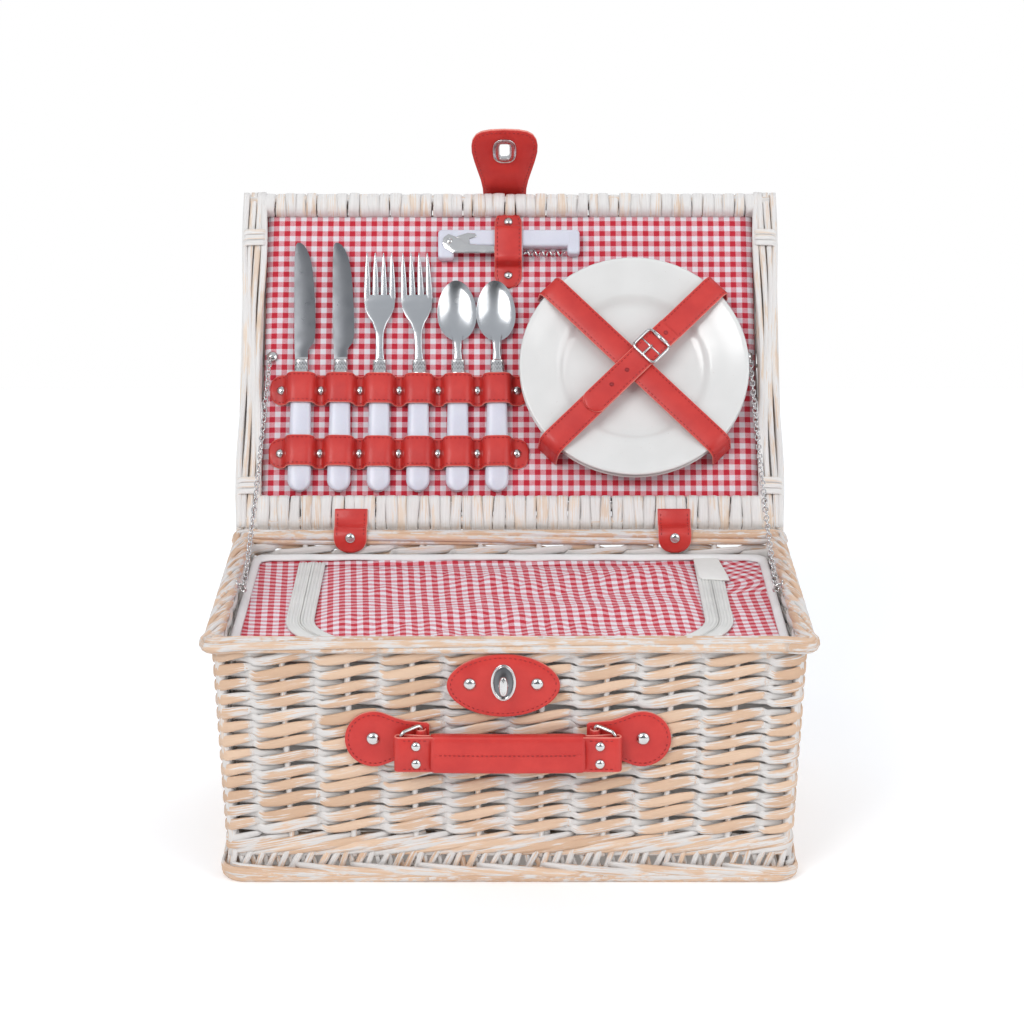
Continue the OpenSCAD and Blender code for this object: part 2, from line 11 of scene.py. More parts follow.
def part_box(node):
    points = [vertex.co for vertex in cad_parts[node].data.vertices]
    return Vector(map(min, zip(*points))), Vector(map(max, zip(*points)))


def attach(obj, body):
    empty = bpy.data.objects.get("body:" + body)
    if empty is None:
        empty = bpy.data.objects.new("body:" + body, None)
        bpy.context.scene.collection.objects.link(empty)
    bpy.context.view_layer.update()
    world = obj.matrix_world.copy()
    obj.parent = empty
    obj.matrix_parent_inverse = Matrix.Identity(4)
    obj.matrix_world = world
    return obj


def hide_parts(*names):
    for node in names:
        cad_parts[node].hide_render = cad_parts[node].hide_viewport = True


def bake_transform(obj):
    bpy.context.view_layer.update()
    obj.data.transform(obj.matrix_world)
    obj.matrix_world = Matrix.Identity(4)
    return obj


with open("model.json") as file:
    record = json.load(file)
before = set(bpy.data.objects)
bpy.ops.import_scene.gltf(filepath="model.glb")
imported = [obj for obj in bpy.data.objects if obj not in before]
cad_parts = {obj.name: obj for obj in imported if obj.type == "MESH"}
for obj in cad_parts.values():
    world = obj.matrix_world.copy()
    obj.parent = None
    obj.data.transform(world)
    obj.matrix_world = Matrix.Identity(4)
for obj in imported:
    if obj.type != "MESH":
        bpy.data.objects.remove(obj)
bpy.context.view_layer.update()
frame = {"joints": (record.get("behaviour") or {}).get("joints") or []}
MM = 0.001
rng = np.random.default_rng(11)
TAU = 2 * math.pi


# ---------- sizes, in millimetres, worked out from the frame ----------

def box(node):
    """Lowest and highest corner of a CAD node, in millimetres."""
    low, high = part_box(node)
    return np.array(low) / MM, np.array(high) / MM


JOINTS = {joint["name"]: joint for joint in frame["joints"]}
RIM_LOW, RIM_HIGH = box("rim_border")
RIM_X, RIM_Y, RIM_TOP = RIM_HIGH
RIM_BASE = RIM_LOW[2]
RIM_WIDE = 12
FOOT_HIGH = box("foot_border")[1]
WALL_T = 7
WALL_Z0, WALL_Z1 = box("front_wall")[0][2], box("front_wall")[1][2]
HALF_X1 = box("end_walls")[1][0]
HALF_Y1 = -box("front_wall")[0][1]
HALF_Y0 = WALL_T - box("front_wall")[1][1]
HALF_X0 = HALF_X1 - 6
HINGE = np.array(JOINTS["lid_hinge"]["pos_m"]) / MM
OPEN = math.radians(-JOINTS["lid_hinge"]["range_deg"][0])
LID_LEN = RIM_HIGH[1] - RIM_LOW[1]
LID_T = 20
RAIL_W = 16
LOW_MORE = 9
LINING = -10
SIDE_CELLS = (9, 6, 9, 6)
CELLS = sum(SIDE_CELLS)
CORNERS = [sum(SIDE_CELLS[:side]) for side in range(4)]
PITCH = 29.1
CUTLERY_X0 = (box("knife_left_handle")[0][0] + box("knife_left_handle")[1][0]) / 2


def half_x(z):
    return HALF_X0 + (HALF_X1 - HALF_X0) * (z - WALL_Z0) / (WALL_Z1 - WALL_Z0)


def half_y(z):
    return HALF_Y0 + (HALF_Y1 - HALF_Y0) * (z - WALL_Z0) / (WALL_Z1 - WALL_Z0)


def cutlery_x(i):
    return CUTLERY_X0 + PITCH * i


# ---------- places ----------

def lid_matrix():
    """Local x across, y up the open lid from the hinge, z out of its inner face."""
    return Matrix.Translation(Vector(HINGE)) @ Matrix.Rotation(math.pi - OPEN, 4, "X")


def facing_front(x, y, z):
    """Local x across, y up, z out of the basket's front."""
    return Matrix.Translation(Vector((x, y, z))) @ Matrix.Rotation(math.pi / 2, 4, "X")


LID = lid_matrix()


# ---------- mesh building ----------

class Bunch:
    """Gathers parts into one mesh, in millimetres, with the values that the materials read."""

    def __init__(self):
        self.verts = []
        self.faces = []
        self.values = {"tone": [], "wash": [], "along": [], "across": []}
        self.count = 0

    def add(self, verts, faces, tone=0.5, wash=0.0, along=0.0, across=0.0):
        verts = np.asarray(verts, float).reshape(-1, 3)
        n = len(verts)
        self.verts.append(verts)
        self.faces.extend([[i + self.count for i in f] for f in faces])
        for key, value in (("tone", tone), ("wash", wash), ("along", along), ("across", across)):
            self.values[key].append(np.broadcast_to(np.asarray(value, float), (n,)).copy())
        self.count += n


def oval_section(n=8, flat=0.75):
    """Cross-section of a split strand: a full oval, flattened by the power."""
    a = np.arange(n) * TAU / n + TAU / (2 * n)
    c, s = np.cos(a), np.sin(a)
    return np.stack([np.sign(c) * np.abs(c) ** flat, np.sign(s) * np.abs(s) ** flat], 1)


def band_section(softness=0.35):
    """Cross-section of a leather band: flat faces and soft edges."""
    e = 1 - softness * 0.25
    return np.array([[-1, -0.4], [-e, -1], [0, -1], [e, -1], [1, -0.4], [1, 0.4], [e, 1], [0, 1], [-e, 1],
                     [-1, 0.4]])


STRAND = oval_section()
ROUND = oval_section(8, 1.0)
BAND = band_section()


def unit(v):
    return v / np.maximum(np.linalg.norm(v, axis=-1, keepdims=True), 1e-9)


def sweep(bunch, path, normal, half_w, half_t, section=STRAND, closed=False, tone=0.5, wash=0.0,
          along0=0.0, edge=0.0):
    """Carries a cross-section along a path. normal points out of its broad face, edge marks its cut sides."""
    path = np.asarray(path, float)
    n = len(path)
    if closed:
        tangent = np.roll(path, -1, 0) - np.roll(path, 1, 0)
    else:
        tangent = np.gradient(path, axis=0)
    tangent = unit(tangent)
    normal = np.broadcast_to(np.asarray(normal, float), (n, 3))
    side = unit(np.cross(tangent, normal))
    normal = unit(np.cross(side, tangent))
    half_w = np.broadcast_to(np.asarray(half_w, float), (n,))
    half_t = np.broadcast_to(np.asarray(half_t, float), (n,))
    k = len(section)
    verts = (
        path[:, None]
        + side[:, None] * section[None, :, :1] * half_w[:, None, None]
        + normal[:, None] * section[None, :, 1:] * half_t[:, None, None]
    )
    step = np.r_[0, np.cumsum(np.linalg.norm(np.diff(path, axis=0), axis=1))] + along0
    faces = []
    last = n if closed else n - 1
    for i in range(last):
        a, b = i * k, ((i + 1) % n) * k
        for j in range(k):
            m = (j + 1) % k
            faces.append([a + j, a + m, b + m, b + j])
    if not closed:
        faces.append(list(range(k))[::-1])
        faces.append(list(range((n - 1) * k, n * k)))
    across = np.tile(section[:, 0], n) * np.repeat(half_w, k)
    tone = np.repeat(np.broadcast_to(np.asarray(tone, float), (n,)), k)
    wash = np.repeat(np.broadcast_to(np.asarray(wash, float), (n,)), k)
    wash = wash + np.tile(edge * (np.abs(section[:, 0]) > 0.99), n)
    bunch.add(verts, faces, tone=tone, wash=wash, along=np.repeat(step, k), across=across)


def tube(bunch, path, radius, closed=False, sides=8):
    """A round rod along a path, with a normal that avoids its direction."""
    path = np.asarray(path, float)
    span = unit(path[-1] - path[0] if not closed else path[1] - path[0])
    guess = np.array([0.31, 0.47, 0.83])
    if abs(span @ unit(guess)) > 0.9:
        guess = np.array([0.83, -0.31, 0.47])
    sweep(bunch, path, guess, radius, radius, oval_section(sides, 1.0), closed)


def revolve(bunch, profile, matrix=None, steps=32):
    """Turns a profile of (radius, height) round local z. A zero radius closes it."""
    verts, faces, rings = [], [], []
    for r, h in profile:
        if r < 1e-6:
            rings.append([len(verts)])
            verts.append((0, 0, h))
            continue
        rings.append(list(range(len(verts), len(verts) + steps)))
        for i in range(steps):
            verts.append((r * math.cos(TAU * i / steps), r * math.sin(TAU * i / steps), h))
    for a, b in zip(rings, rings[1:]):
        for i in range(steps):
            j = (i + 1) % steps
            if len(a) == 1 and len(b) > 1:
                faces.append([a[0], b[i], b[j]])
            elif len(b) == 1 and len(a) > 1:
                faces.append([a[i], a[j], b[0]])
            elif len(a) > 1:
                faces.append([a[i], a[j], b[j], b[i]])
    bunch.add(placed(verts, matrix), faces)


def placed(verts, matrix):
    verts = np.asarray(verts, float)
    if matrix is None:
        return verts
    m = np.array(matrix)
    return verts @ m[:3, :3].T + m[:3, 3]


def outline_normals(points):
    """Outward direction at each corner of a closed outline that runs anticlockwise."""
    step = unit(np.roll(points, -1, 0) - points)
    out = np.stack([step[:, 1], -step[:, 0]], 1)
    mean = unit(out + np.roll(out, 1, 0))
    return mean


def slab(bunch, outline, low, high, matrix=None, soft=0.5, holes=None, dome=0.0, edge=0.0):
    """A flat piece with rounded edges. holes is one inner outline with as many points as the outer."""
    outline = np.asarray(outline, float)
    out = outline_normals(outline)
    n = len(outline)
    steps = [(soft, 0.0), (soft * 0.3, 0.3), (0.0, 1.0)]
    rings = [(inset, low + soft * rise) for inset, rise in steps]
    rings += [(inset, high - soft * rise) for inset, rise in steps[::-1]]
    verts, faces = [], []
    for inset, h in rings:
        for p, o in zip(outline, out):
            verts.append((p[0] - o[0] * inset, p[1] - o[1] * inset, h))
    wash = np.repeat([edge if inset == 0.0 else 0.0 for inset, _ in rings], n)
    count = len(rings)
    loops = count - 1
    for r in range(loops):
        for i in range(n):
            j = (i + 1) % n
            faces.append([r * n + i, r * n + j, (r + 1) * n + j, (r + 1) * n + i])
    if holes is None:
        centre = outline.mean(0)
        mid = [len(verts), len(verts) + 1]
        verts.append((centre[0], centre[1], low))
        verts.append((centre[0], centre[1], high + dome))
        ring2 = len(verts)
        for p in outline:
            q = centre + (p - centre) * 0.55
            verts.append((q[0], q[1], high + dome * 0.7))
        top = (count - 1) * n
        for i in range(n):
            j = (i + 1) % n
            faces.append([mid[0], j, i])
            faces.append([top + i, top + j, ring2 + j, ring2 + i])
            faces.append([ring2 + i, ring2 + j, mid[1]])
    else:
        inner = np.asarray(holes, float)
        inward = -outline_normals(inner)
        base = len(verts)
        for inset, h in rings:
            for p, o in zip(inner, inward):
                verts.append((p[0] - o[0] * inset, p[1] - o[1] * inset, h))
        for r in range(loops):
            for i in range(n):
                j = (i + 1) % n
                faces.append([base + r * n + j, base + r * n + i, base + (r + 1) * n + i,
                              base + (r + 1) * n + j])
        top, bottom = (count - 1) * n, 0
        for i in range(n):
            j = (i + 1) % n
            faces.append([bottom + j, bottom + i, base + i, base + j])
            faces.append([top + i, top + j, base + top + j, base + top + i])
    wash = np.r_[wash, np.zeros(len(verts) - len(wash))]
    bunch.add(placed(verts, matrix), faces, wash=wash)


def ellipse(w, h, n=48, power=1.0, centre=(0, 0)):
    a = np.arange(n) * TAU / n
    c, s = np.cos(a), np.sin(a)
    return np.stack([
        centre[0] + w / 2 * np.sign(c) * np.abs(c) ** power,
        centre[1] + h / 2 * np.sign(s) * np.abs(s) ** power,
    ], 1)


def rounded_path(points, radius, steps=6):
    """A polyline with its inner corners turned into arcs."""
    pts = [np.asarray(p, float) for p in points]
    out = [pts[0]]
    for a, b, c in zip(pts, pts[1:], pts[2:]):
        u, v = a - b, c - b
        r = min(radius, np.linalg.norm(u) * 0.49, np.linalg.norm(v) * 0.49)
        p, q = b + unit(u) * r, b + unit(v) * r
        for t in np.linspace(0, 1, steps):
            out.append((1 - t) ** 2 * p + 2 * t * (1 - t) * b + t ** 2 * q)
    out.append(pts[-1])
    return np.array(out)


def resample(path, step):
    path = np.asarray(path, float)
    length = np.r_[0, np.cumsum(np.linalg.norm(np.diff(path, axis=0), axis=1))]
    n = max(2, int(length[-1] / step) + 1)
    want = np.linspace(0, length[-1], n)
    return np.stack([np.interp(want, length, path[:, k]) for k in range(path.shape[1])], 1)


def make(name, bunch, look, body=None, replaces=(), sharp=None):
    """Turns a bunch into a Blender object in metres and ties it to its CAD body."""
    mesh = bpy.data.meshes.new(name)
    verts = np.vstack(bunch.verts) * MM
    mesh.from_pydata(verts.tolist(), [], bunch.faces)
    for key, parts in bunch.values.items():
        mesh.attributes.new(key, "FLOAT", "POINT").data.foreach_set("value",
                                                                    np.concatenate(parts).astype(np.float32))
    work = bmesh.new()
    work.from_mesh(mesh)
    bmesh.ops.recalc_face_normals(work, faces=work.faces)
    work.to_mesh(mesh)
    work.free()
    mesh.shade_smooth()
    if sharp is not None:
        mesh.set_sharp_from_angle(angle=math.radians(sharp))
    obj = bpy.data.objects.new(name, mesh)
    bpy.context.scene.collection.objects.link(obj)
    obj.data.materials.append(MAT[look])
    if body:
        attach(obj, body)
    if replaces:
        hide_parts(*replaces)
    return obj


# ---------- materials ----------

class Shader:
    """A small helper that adds nodes to one material and joins them."""

    def __init__(self, name, roughness=0.5, metallic=0.0):
        self.material = bpy.data.materials.new(name)
        self.material.use_nodes = True
        self.tree = self.material.node_tree
        self.bsdf = self.tree.nodes["Principled BSDF"]
        self.bsdf.inputs["Roughness"].default_value = roughness
        self.bsdf.inputs["Metallic"].default_value = metallic

    def node(self, kind, **settings):
        new = self.tree.nodes.new(kind)
        for key, value in settings.items():
            setattr(new, key, value)
        return new

    def link(self, a, b):
        self.tree.links.new(a, b)

    def value(self, name):
        return self.node("ShaderNodeAttribute", attribute_name=name).outputs["Fac"]

    def math(self, operation, a, b=0.0):
        new = self.node("ShaderNodeMath", operation=operation)
        for socket, item in zip(new.inputs, (a, b)):
            if isinstance(item, (int, float)):
                socket.default_value = item
            else:
                self.link(item, socket)
        return new.outputs[0]

    def join(self, x=0.0, y=0.0, z=0.0):
        new = self.node("ShaderNodeCombineXYZ")
        for socket, item in zip(new.inputs, (x, y, z)):
            if isinstance(item, (int, float)):
                socket.default_value = item
            else:
                self.link(item, socket)
        return new.outputs[0]

    def noise(self, vector, scale, detail=3.0, rough=0.55):
        new = self.node("ShaderNodeTexNoise")
        new.inputs["Scale"].default_value = scale
        new.inputs["Detail"].default_value = detail
        new.inputs["Roughness"].default_value = rough
        if vector is not None:
            self.link(vector, new.inputs["Vector"])
        return new.outputs["Fac"]

    def object_place(self):
        return self.node("ShaderNodeTexCoord").outputs["Object"]

    def ramp(self, factor, stops):
        new = self.node("ShaderNodeValToRGB")
        ramp = new.color_ramp
        while len(ramp.elements) < len(stops):
            ramp.elements.new(0.5)
        for element, (place, color) in zip(ramp.elements, stops):
            element.position = place
            element.color = (*color, 1)
        self.link(factor, new.inputs["Fac"])
        return new.outputs["Color"]

    def span(self, value, low, high, to_low=0.0, to_high=1.0, smooth=False):
        new = self.node("ShaderNodeMapRange")
        if smooth:
            new.interpolation_type = "SMOOTHSTEP"
        self.link(value, new.inputs["Value"])
        for key, number in (("From Min", low), ("From Max", high), ("To Min", to_low), ("To Max", to_high)):
            new.inputs[key].default_value = number
        return new.outputs["Result"]

    def mix(self, factor, a, b, blend="MIX"):
        new = self.node("ShaderNodeMix", data_type="RGBA", blend_type=blend)
        for socket, item in ((new.inputs["Factor"], factor), (new.inputs[6], a), (new.inputs[7], b)):
            if isinstance(item, (int, float)):
                socket.default_value = item
            elif isinstance(item, tuple):
                socket.default_value = (*item, 1)
            else:
                self.link(item, socket)
        return new.outputs[2]

    def bump(self, height, distance, strength=1.0):
        new = self.node("ShaderNodeBump")
        new.inputs["Strength"].default_value = strength
        new.inputs["Distance"].default_value = distance
        self.link(height, new.inputs["Height"])
        self.link(new.outputs["Normal"], self.bsdf.inputs["Normal"])

    def color(self, socket):
        self.link(socket, self.bsdf.inputs["Base Color"])

    def roughness(self, socket):
        self.link(socket, self.bsdf.inputs["Roughness"])

    def set(self, name, value):
        self.bsdf.inputs[name].default_value = value
        return self


def willow(name, honey, deep, white, wash_low, wash_high):
    """Split willow: grain runs along each strand, and white wash clings where strands dive."""
    s = Shader(name, roughness=0.62)
    along, across, tone = s.value("along"), s.value("across"), s.value("tone")
    grain = s.noise(s.join(s.math("MULTIPLY", along, 0.02), s.math("MULTIPLY", across, 1.0),
                           s.math("MULTIPLY", tone, 40)),
                    1.3, 5, 0.6)
    blot = s.noise(s.join(s.math("MULTIPLY", along, 0.05), s.math("MULTIPLY", across, 0.2),
                          s.math("MULTIPLY", tone, 90)),
                   1.0, 3)
    wood = s.mix(s.span(tone, 0.1, 0.95), honey, deep)
    wood = s.mix(s.span(grain, 0.42, 0.68), wood, s.mix(0.35, wood, deep))
    cover = s.math("ADD", s.value("wash"), s.span(blot, 0.3, 0.7, -0.5, 0.5))
    cover = s.math("ADD", cover, s.span(grain, 0.35, 0.65, 0.42, -0.42))
    cover = s.span(cover, wash_low, wash_high, smooth=True)
    paint = s.mix(s.span(grain, 0.3, 0.7), white, tuple(0.86 * c for c in white))
    s.color(s.mix(cover, wood, paint))
    s.roughness(s.span(grain, 0.2, 0.8, 0.5, 0.78))
    s.bump(s.math("ADD", grain, s.math("MULTIPLY", cover, 0.15)), 0.0007, 0.8)
    s.set("Specular IOR Level", 0.3)
    return s.material


def leather(name, base, dark, edge):
    """Faux leather: fine pebbled grain, soft sheen, and a paler cut edge."""
    s = Shader(name, roughness=0.42)
    place = s.object_place()
    cells = s.node("ShaderNodeTexVoronoi")
    cells.inputs["Scale"].default_value = 1900
    s.link(place, cells.inputs["Vector"])
    pebble = cells.outputs["Distance"]
    cloud = s.noise(place, 60, 4)
    fine = s.noise(place, 900, 2)
    color = s.mix(s.span(cloud, 0.35, 0.65), base, dark)
    color = s.mix(s.span(s.value("wash"), 0.45, 0.75), color, edge)
    s.color(color)
    s.roughness(s.span(fine, 0.3, 0.7, 0.36, 0.52))
    s.bump(s.math("ADD", s.math("MULTIPLY", pebble, 0.7), s.math("MULTIPLY", fine, 0.5)), 0.00012, 0.55)
    s.set("Specular IOR Level", 0.45)
    s.set("Coat Weight", 0.08)
    return s.material


def polished(name, color, rough=0.14, streak=False):
    """Plated or polished steel with faint handling marks."""
    s = Shader(name, roughness=rough, metallic=1.0)
    place = s.object_place()
    mark = s.noise(place, 90, 3, 0.5)
    s.color(s.mix(s.span(mark, 0.4, 0.7), color, tuple(0.92 * c for c in color)))
    low, high = (0.7, 1.9) if not streak else (0.8, 1.5)
    s.roughness(s.span(mark, 0.3, 0.75, rough * low, rough * high))
    if not streak:
        s.bump(mark, 0.00003, 0.15)
    return s.material


def smooth_plastic(name, color, shade):
    """Moulded handle plastic with a soft gloss and faint flow marks."""
    s = Shader(name, roughness=0.22)
    place = s.object_place()
    flow = s.noise(place, 45, 3)
    fine = s.noise(place, 1600, 2)
    s.color(s.mix(s.span(flow, 0.35, 0.65), color, shade))
    s.roughness(s.span(fine, 0.3, 0.7, 0.17, 0.3))
    s.bump(s.math("ADD", flow, s.math("MULTIPLY", fine, 0.05)), 0.00025, 0.3)
    s.set("Subsurface Weight", 0.05)
    return s.material


def glazed(name):
    """White glaze over ceramic: glossy, with a slow ripple and rare specks."""
    s = Shader(name, roughness=0.07)
    place = s.object_place()
    ripple = s.noise(place, 30, 2)
    speck = s.noise(place, 700, 2)
    color = s.mix(s.span(ripple, 0.4, 0.6), (0.72, 0.72, 0.70), (0.69, 0.69, 0.67))
    s.color(s.mix(s.span(speck, 0.73, 0.78), color, (0.55, 0.5, 0.44)))
    s.roughness(s.span(ripple, 0.3, 0.7, 0.12, 0.2))
    s.bump(ripple, 0.0004, 0.2)
    s.set("Coat Weight", 0.25)
    s.set("Coat Roughness", 0.12)
    return s.material


def gingham_cloth(name, check=8.2):
    """Woven check: red and white threads both ways, so a crossing is red, pink or white."""
    s = Shader(name, roughness=0.82)
    along, across = s.value("along"), s.value("across")

    def stripe(value):
        turn = s.math("PINGPONG", s.math("DIVIDE", value, check), 0.5)
        return s.span(turn, 0.235, 0.265)

    def thread(value, scale):
        return s.math("SINE", s.math("MULTIPLY", value, scale))

    a, b = stripe(along), stripe(across)
    over = s.span(s.math("MULTIPLY", thread(along, 15.0), thread(across, 15.0)), -0.6, 0.6, -0.16, 0.16)
    both = s.math("MULTIPLY", s.math("ADD", a, b), 0.5)
    slub = s.noise(s.join(s.math("MULTIPLY", along, 0.25), s.math("MULTIPLY", across, 2.2), 0.0), 1.0, 3)
    fibre = s.noise(s.join(s.math("MULTIPLY", along, 2.2), s.math("MULTIPLY", across, 0.25), 5.0), 1.0, 3)
    tone = s.math("ADD", both, s.math("MULTIPLY", over,
                                      s.span(s.math("ABSOLUTE", s.math("SUBTRACT", both, 0.5)), 0.0, 0.5,
                                             1.0, 0.1)))
    tone = s.math("ADD", tone, s.span(s.math("ADD", slub, fibre), 0.7, 1.3, -0.07, 0.07))
    s.color(s.ramp(tone, [(0.0, (0.77, 0.73, 0.76)), (0.28, (0.73, 0.53, 0.58)), (0.5, (0.68, 0.27, 0.31)),
                          (0.78, (0.60, 0.075, 0.09)), (1.0, (0.52, 0.02, 0.04))]))
    weave = s.math("ADD", s.math("MULTIPLY", thread(along, 15.0), 0.5),
                   s.math("MULTIPLY", thread(across, 15.0), 0.5))
    s.bump(s.math("ADD", weave, slub), 0.00012, 0.5)
    s.set("Sheen Weight", 0.05)
    s.set("Sheen Roughness", 0.6)
    s.set("Specular IOR Level", 0.2)
    return s.material


def woven_tape(name, color, rib=4.5, strength=0.5):
    """Plain cotton tape or lining with fine ribs along it."""
    s = Shader(name, roughness=0.8)
    along, across = s.value("along"), s.value("across")
    ribs = s.math("SINE", s.math("MULTIPLY", across, rib))
    weft = s.math("SINE", s.math("MULTIPLY", along, rib * 2.0))
    soil = s.noise(s.object_place(), 40, 4)
    s.color(s.mix(s.span(soil, 0.35, 0.7), color, tuple(0.9 * c for c in color)))
    s.bump(s.math("ADD", ribs, s.math("MULTIPLY", weft, 0.5)), 0.00012, strength)
    s.set("Sheen Weight", 0.15)
    s.set("Specular IOR Level", 0.25)
    return s.material


def foil(name):
    """Crinkled silver lining of the cooler."""
    s = Shader(name, roughness=0.3, metallic=0.9)
    place = s.object_place()
    crease = s.noise(place, 55, 5, 0.65)
    s.color(s.mix(crease, (0.62, 0.63, 0.65), (0.8, 0.8, 0.81)))
    s.roughness(s.span(crease, 0.3, 0.7, 0.22, 0.4))
    s.bump(crease, 0.002, 0.7)
    return s.material


MAT = {
    "willow": willow("willow", (0.72, 0.52, 0.375), (0.60, 0.40, 0.27), (0.71, 0.68, 0.655), 0.34, 0.74),
    "pale_willow": willow("pale_willow", (0.78, 0.66, 0.55), (0.68, 0.53, 0.41), (0.79, 0.765, 0.74),
                          0.12, 0.62),
    "red_leather": leather("red_leather", (0.57, 0.034, 0.026), (0.50, 0.024, 0.02), (0.78, 0.25, 0.20)),
    "red_thread": leather("red_thread", (0.36, 0.015, 0.018), (0.28, 0.01, 0.012), (0.4, 0.02, 0.02)),
    "chrome": polished("chrome", (0.66, 0.65, 0.64)),
    "cutlery_steel": polished("cutlery_steel", (0.52, 0.53, 0.54), 0.2, streak=True),
    "blade_steel": polished("blade_steel", (0.195, 0.20, 0.21), 0.32, streak=True),
    "ivory_plastic": smooth_plastic("ivory_plastic", (0.66, 0.66, 0.73), (0.62, 0.62, 0.70)),
    "glazed_plate": glazed("glazed_plate"),
    "gingham": gingham_cloth("gingham"),
    "white_webbing": woven_tape("white_webbing", (0.80, 0.79, 0.78)),
    "foil": foil("foil"),
    "grey_tape": woven_tape("grey_tape", (0.75, 0.74, 0.71), 5.5, 0.7),
}


# ---------- woven body ----------

def around(u, hx, hy, r):
    """Point and outward normal at cell u of a rounded rectangle, anticlockwise from the front left corner."""
    u = np.mod(u, CELLS)
    starts = np.cumsum((0,) + SIDE_CELLS[:3])
    side = np.searchsorted(starts, u, side="right") - 1
    run = np.array([[1, 0], [0, 1], [-1, 0], [0, -1]])[side]
    out = np.array([[0, -1], [1, 0], [0, 1], [-1, 0]])[side]
    f = (u - starts[side]) / np.array(SIDE_CELLS)[side]
    a = np.where(side % 2 == 0, hx, hy)
    b = np.where(side % 2 == 0, hy, hx)
    s = (2 * f - 1) * a
    d = a - np.abs(s)
    sign = np.sign(s)
    turn = np.where(d < r, (1 - d / r) * math.pi / 4, 0.0)
    straight = out * b[:, None] + run * s[:, None]
    heading = out * np.cos(turn)[:, None] + run * (sign * np.sin(turn))[:, None]
    centre = out * (b - r)[:, None] + run * (sign * (a - r))[:, None]
    point = np.where((d < r)[:, None], centre + heading * r, straight)
    return point, heading


def ripple(u, seed, size, waves=4):
    """A slow wander that closes on itself round the basket."""
    local = np.random.default_rng(seed)
    total = np.zeros_like(u)
    for k in range(1, waves + 1):
        total += local.normal() * np.sin(TAU * k * u / CELLS + local.uniform(0, TAU)) / k ** 0.5
    return total * size / waves ** 0.5


def per_cell(u, seed, low, high, shift=0.5):
    """One random value for each pair of cells, steady where a strand shows."""
    local = np.random.default_rng(seed)
    values = local.uniform(low, high, CELLS * 2 + 4)
    return values[np.mod(np.floor((u + shift)).astype(int), CELLS)]


def twined_row(bunch, z0, row, depth=2.3, lift=3.1, samples=12):
    """Two strands that swap between front and back of the stakes, twisting between them."""
    u = np.arange(CELLS * samples) / samples
    for strand in (0, 1):
        phase = math.pi * (u + strand)
        c = np.cos(phase)
        w = depth * np.sign(c) * np.abs(c) ** 0.62
        up = lift * np.sin(math.pi * u) * np.cos(math.pi * strand)
        front = np.clip(c, 0, 1)
        tilt = np.where(c > 0, 1.0, 0.5)
        z = z0 + up * tilt + ripple(u, 100 + row, 0.9) + ripple(u, 200 + 2 * row + strand, 0.4, 14)
        z = np.clip(z, WALL_Z0 + 3, WALL_Z1 + 1)
        point, out = around(u, half_x(z) - 3.4, half_y(z) - 3.4, 7)
        path = np.column_stack([point + out * w[:, None], z])
        normal = np.column_stack([out, np.zeros(len(u))])
        size = per_cell(u, 7 * row + strand, 0.84, 1.16)
        half_w = np.where(c > 0, 2.4 + 1.45 * np.abs(c), 2.6 + 0.7 * np.abs(c)) * size
        wash = 1.05 - 1.1 * front ** 0.5 + per_cell(u, 13 * row + strand, -0.2, 0.45)
        tone = per_cell(u, 5 * row + strand * 3, 0.0, 1.0)
        sweep(bunch, path, normal, half_w, 1.15, closed=True, tone=tone, wash=wash, along0=row * 97)


def rolled_border(bunch, z0, half_n, half_z, hx, hy, strands, turns, seed, ear=0.0, wide=1.0, wash=0.45,
                  r=9):
    """Rods rolled round the edge: each rod creeps round the border's own section."""
    samples = 14
    u = np.arange(CELLS * samples) / samples
    starts = np.cumsum((0,) + SIDE_CELLS)
    creep = np.interp(u, starts, np.cumsum([0.0, *turns]))
    near = np.min(np.abs(u[:, None] - starts[None]), 1)
    bulge = ear * np.exp(-(near / 0.22) ** 2)
    for k in range(strands):
        angle = TAU * (k / strands + creep) + ripple(u, seed + k, 0.10)
        c, s = np.cos(angle), np.sin(angle)
        n_off = half_n * np.sign(c) * np.abs(c) ** 0.7
        z_off = half_z * np.sign(s) * np.abs(s) ** 0.7
        point, out = around(u, hx, hy, r)
        path = np.column_stack([point + out * (n_off + bulge)[:, None], z0 + z_off])
        normal = np.column_stack([out * c[:, None], s])
        fat = wide * (1 + ripple(u, seed + 50 + k, 0.08))
        tone = np.mod(0.37 * k + 0.5 + ripple(u, seed + 80 + k, 0.2), 1.0)
        sweep(bunch, path, normal, fat, wide * 0.78, closed=True, tone=tone, along0=k * 131,
              wash=wash + ripple(u, seed + 120 + k, 0.3, 8))


def stake(bunch, u, z0, z1, radius):
    z = np.linspace(z0, z1, 16)
    point, out = around(np.full(len(z), u), half_x(z) - 3.4, half_y(z) - 3.4, 7)
    path = np.column_stack([point, z])
    sweep(bunch, path, np.column_stack([out, np.zeros(len(z))]), radius, radius, ROUND,
          tone=rng.uniform(), wash=0.9)


def waling(bunch, u0, z0=WALL_Z0 - 7, rise=15.0, reach=2.1, out0=0.0):
    """One long strand of the waling: it comes out, climbs over two stakes and dives in again."""
    t = np.linspace(0, 1, 22)
    u = u0 + reach * t
    z = z0 + rise * t + rng.uniform(-0.6, 0.6)
    point, out = around(u, half_x(z) - 3.4, half_y(z) - 3.4, 7)
    bow = np.sin(math.pi * t)
    path = np.column_stack([point + out * (out0 - 2.6 + 5.0 * bow ** 0.6)[:, None], z])
    sweep(bunch, path, np.column_stack([out, 0 * z]), 1.7 + 1.4 * bow ** 0.5, 1.3, tone=rng.uniform(),
          wash=1.0 - 0.7 * bow + rng.uniform(-0.15, 0.35), along0=u0 * 50)


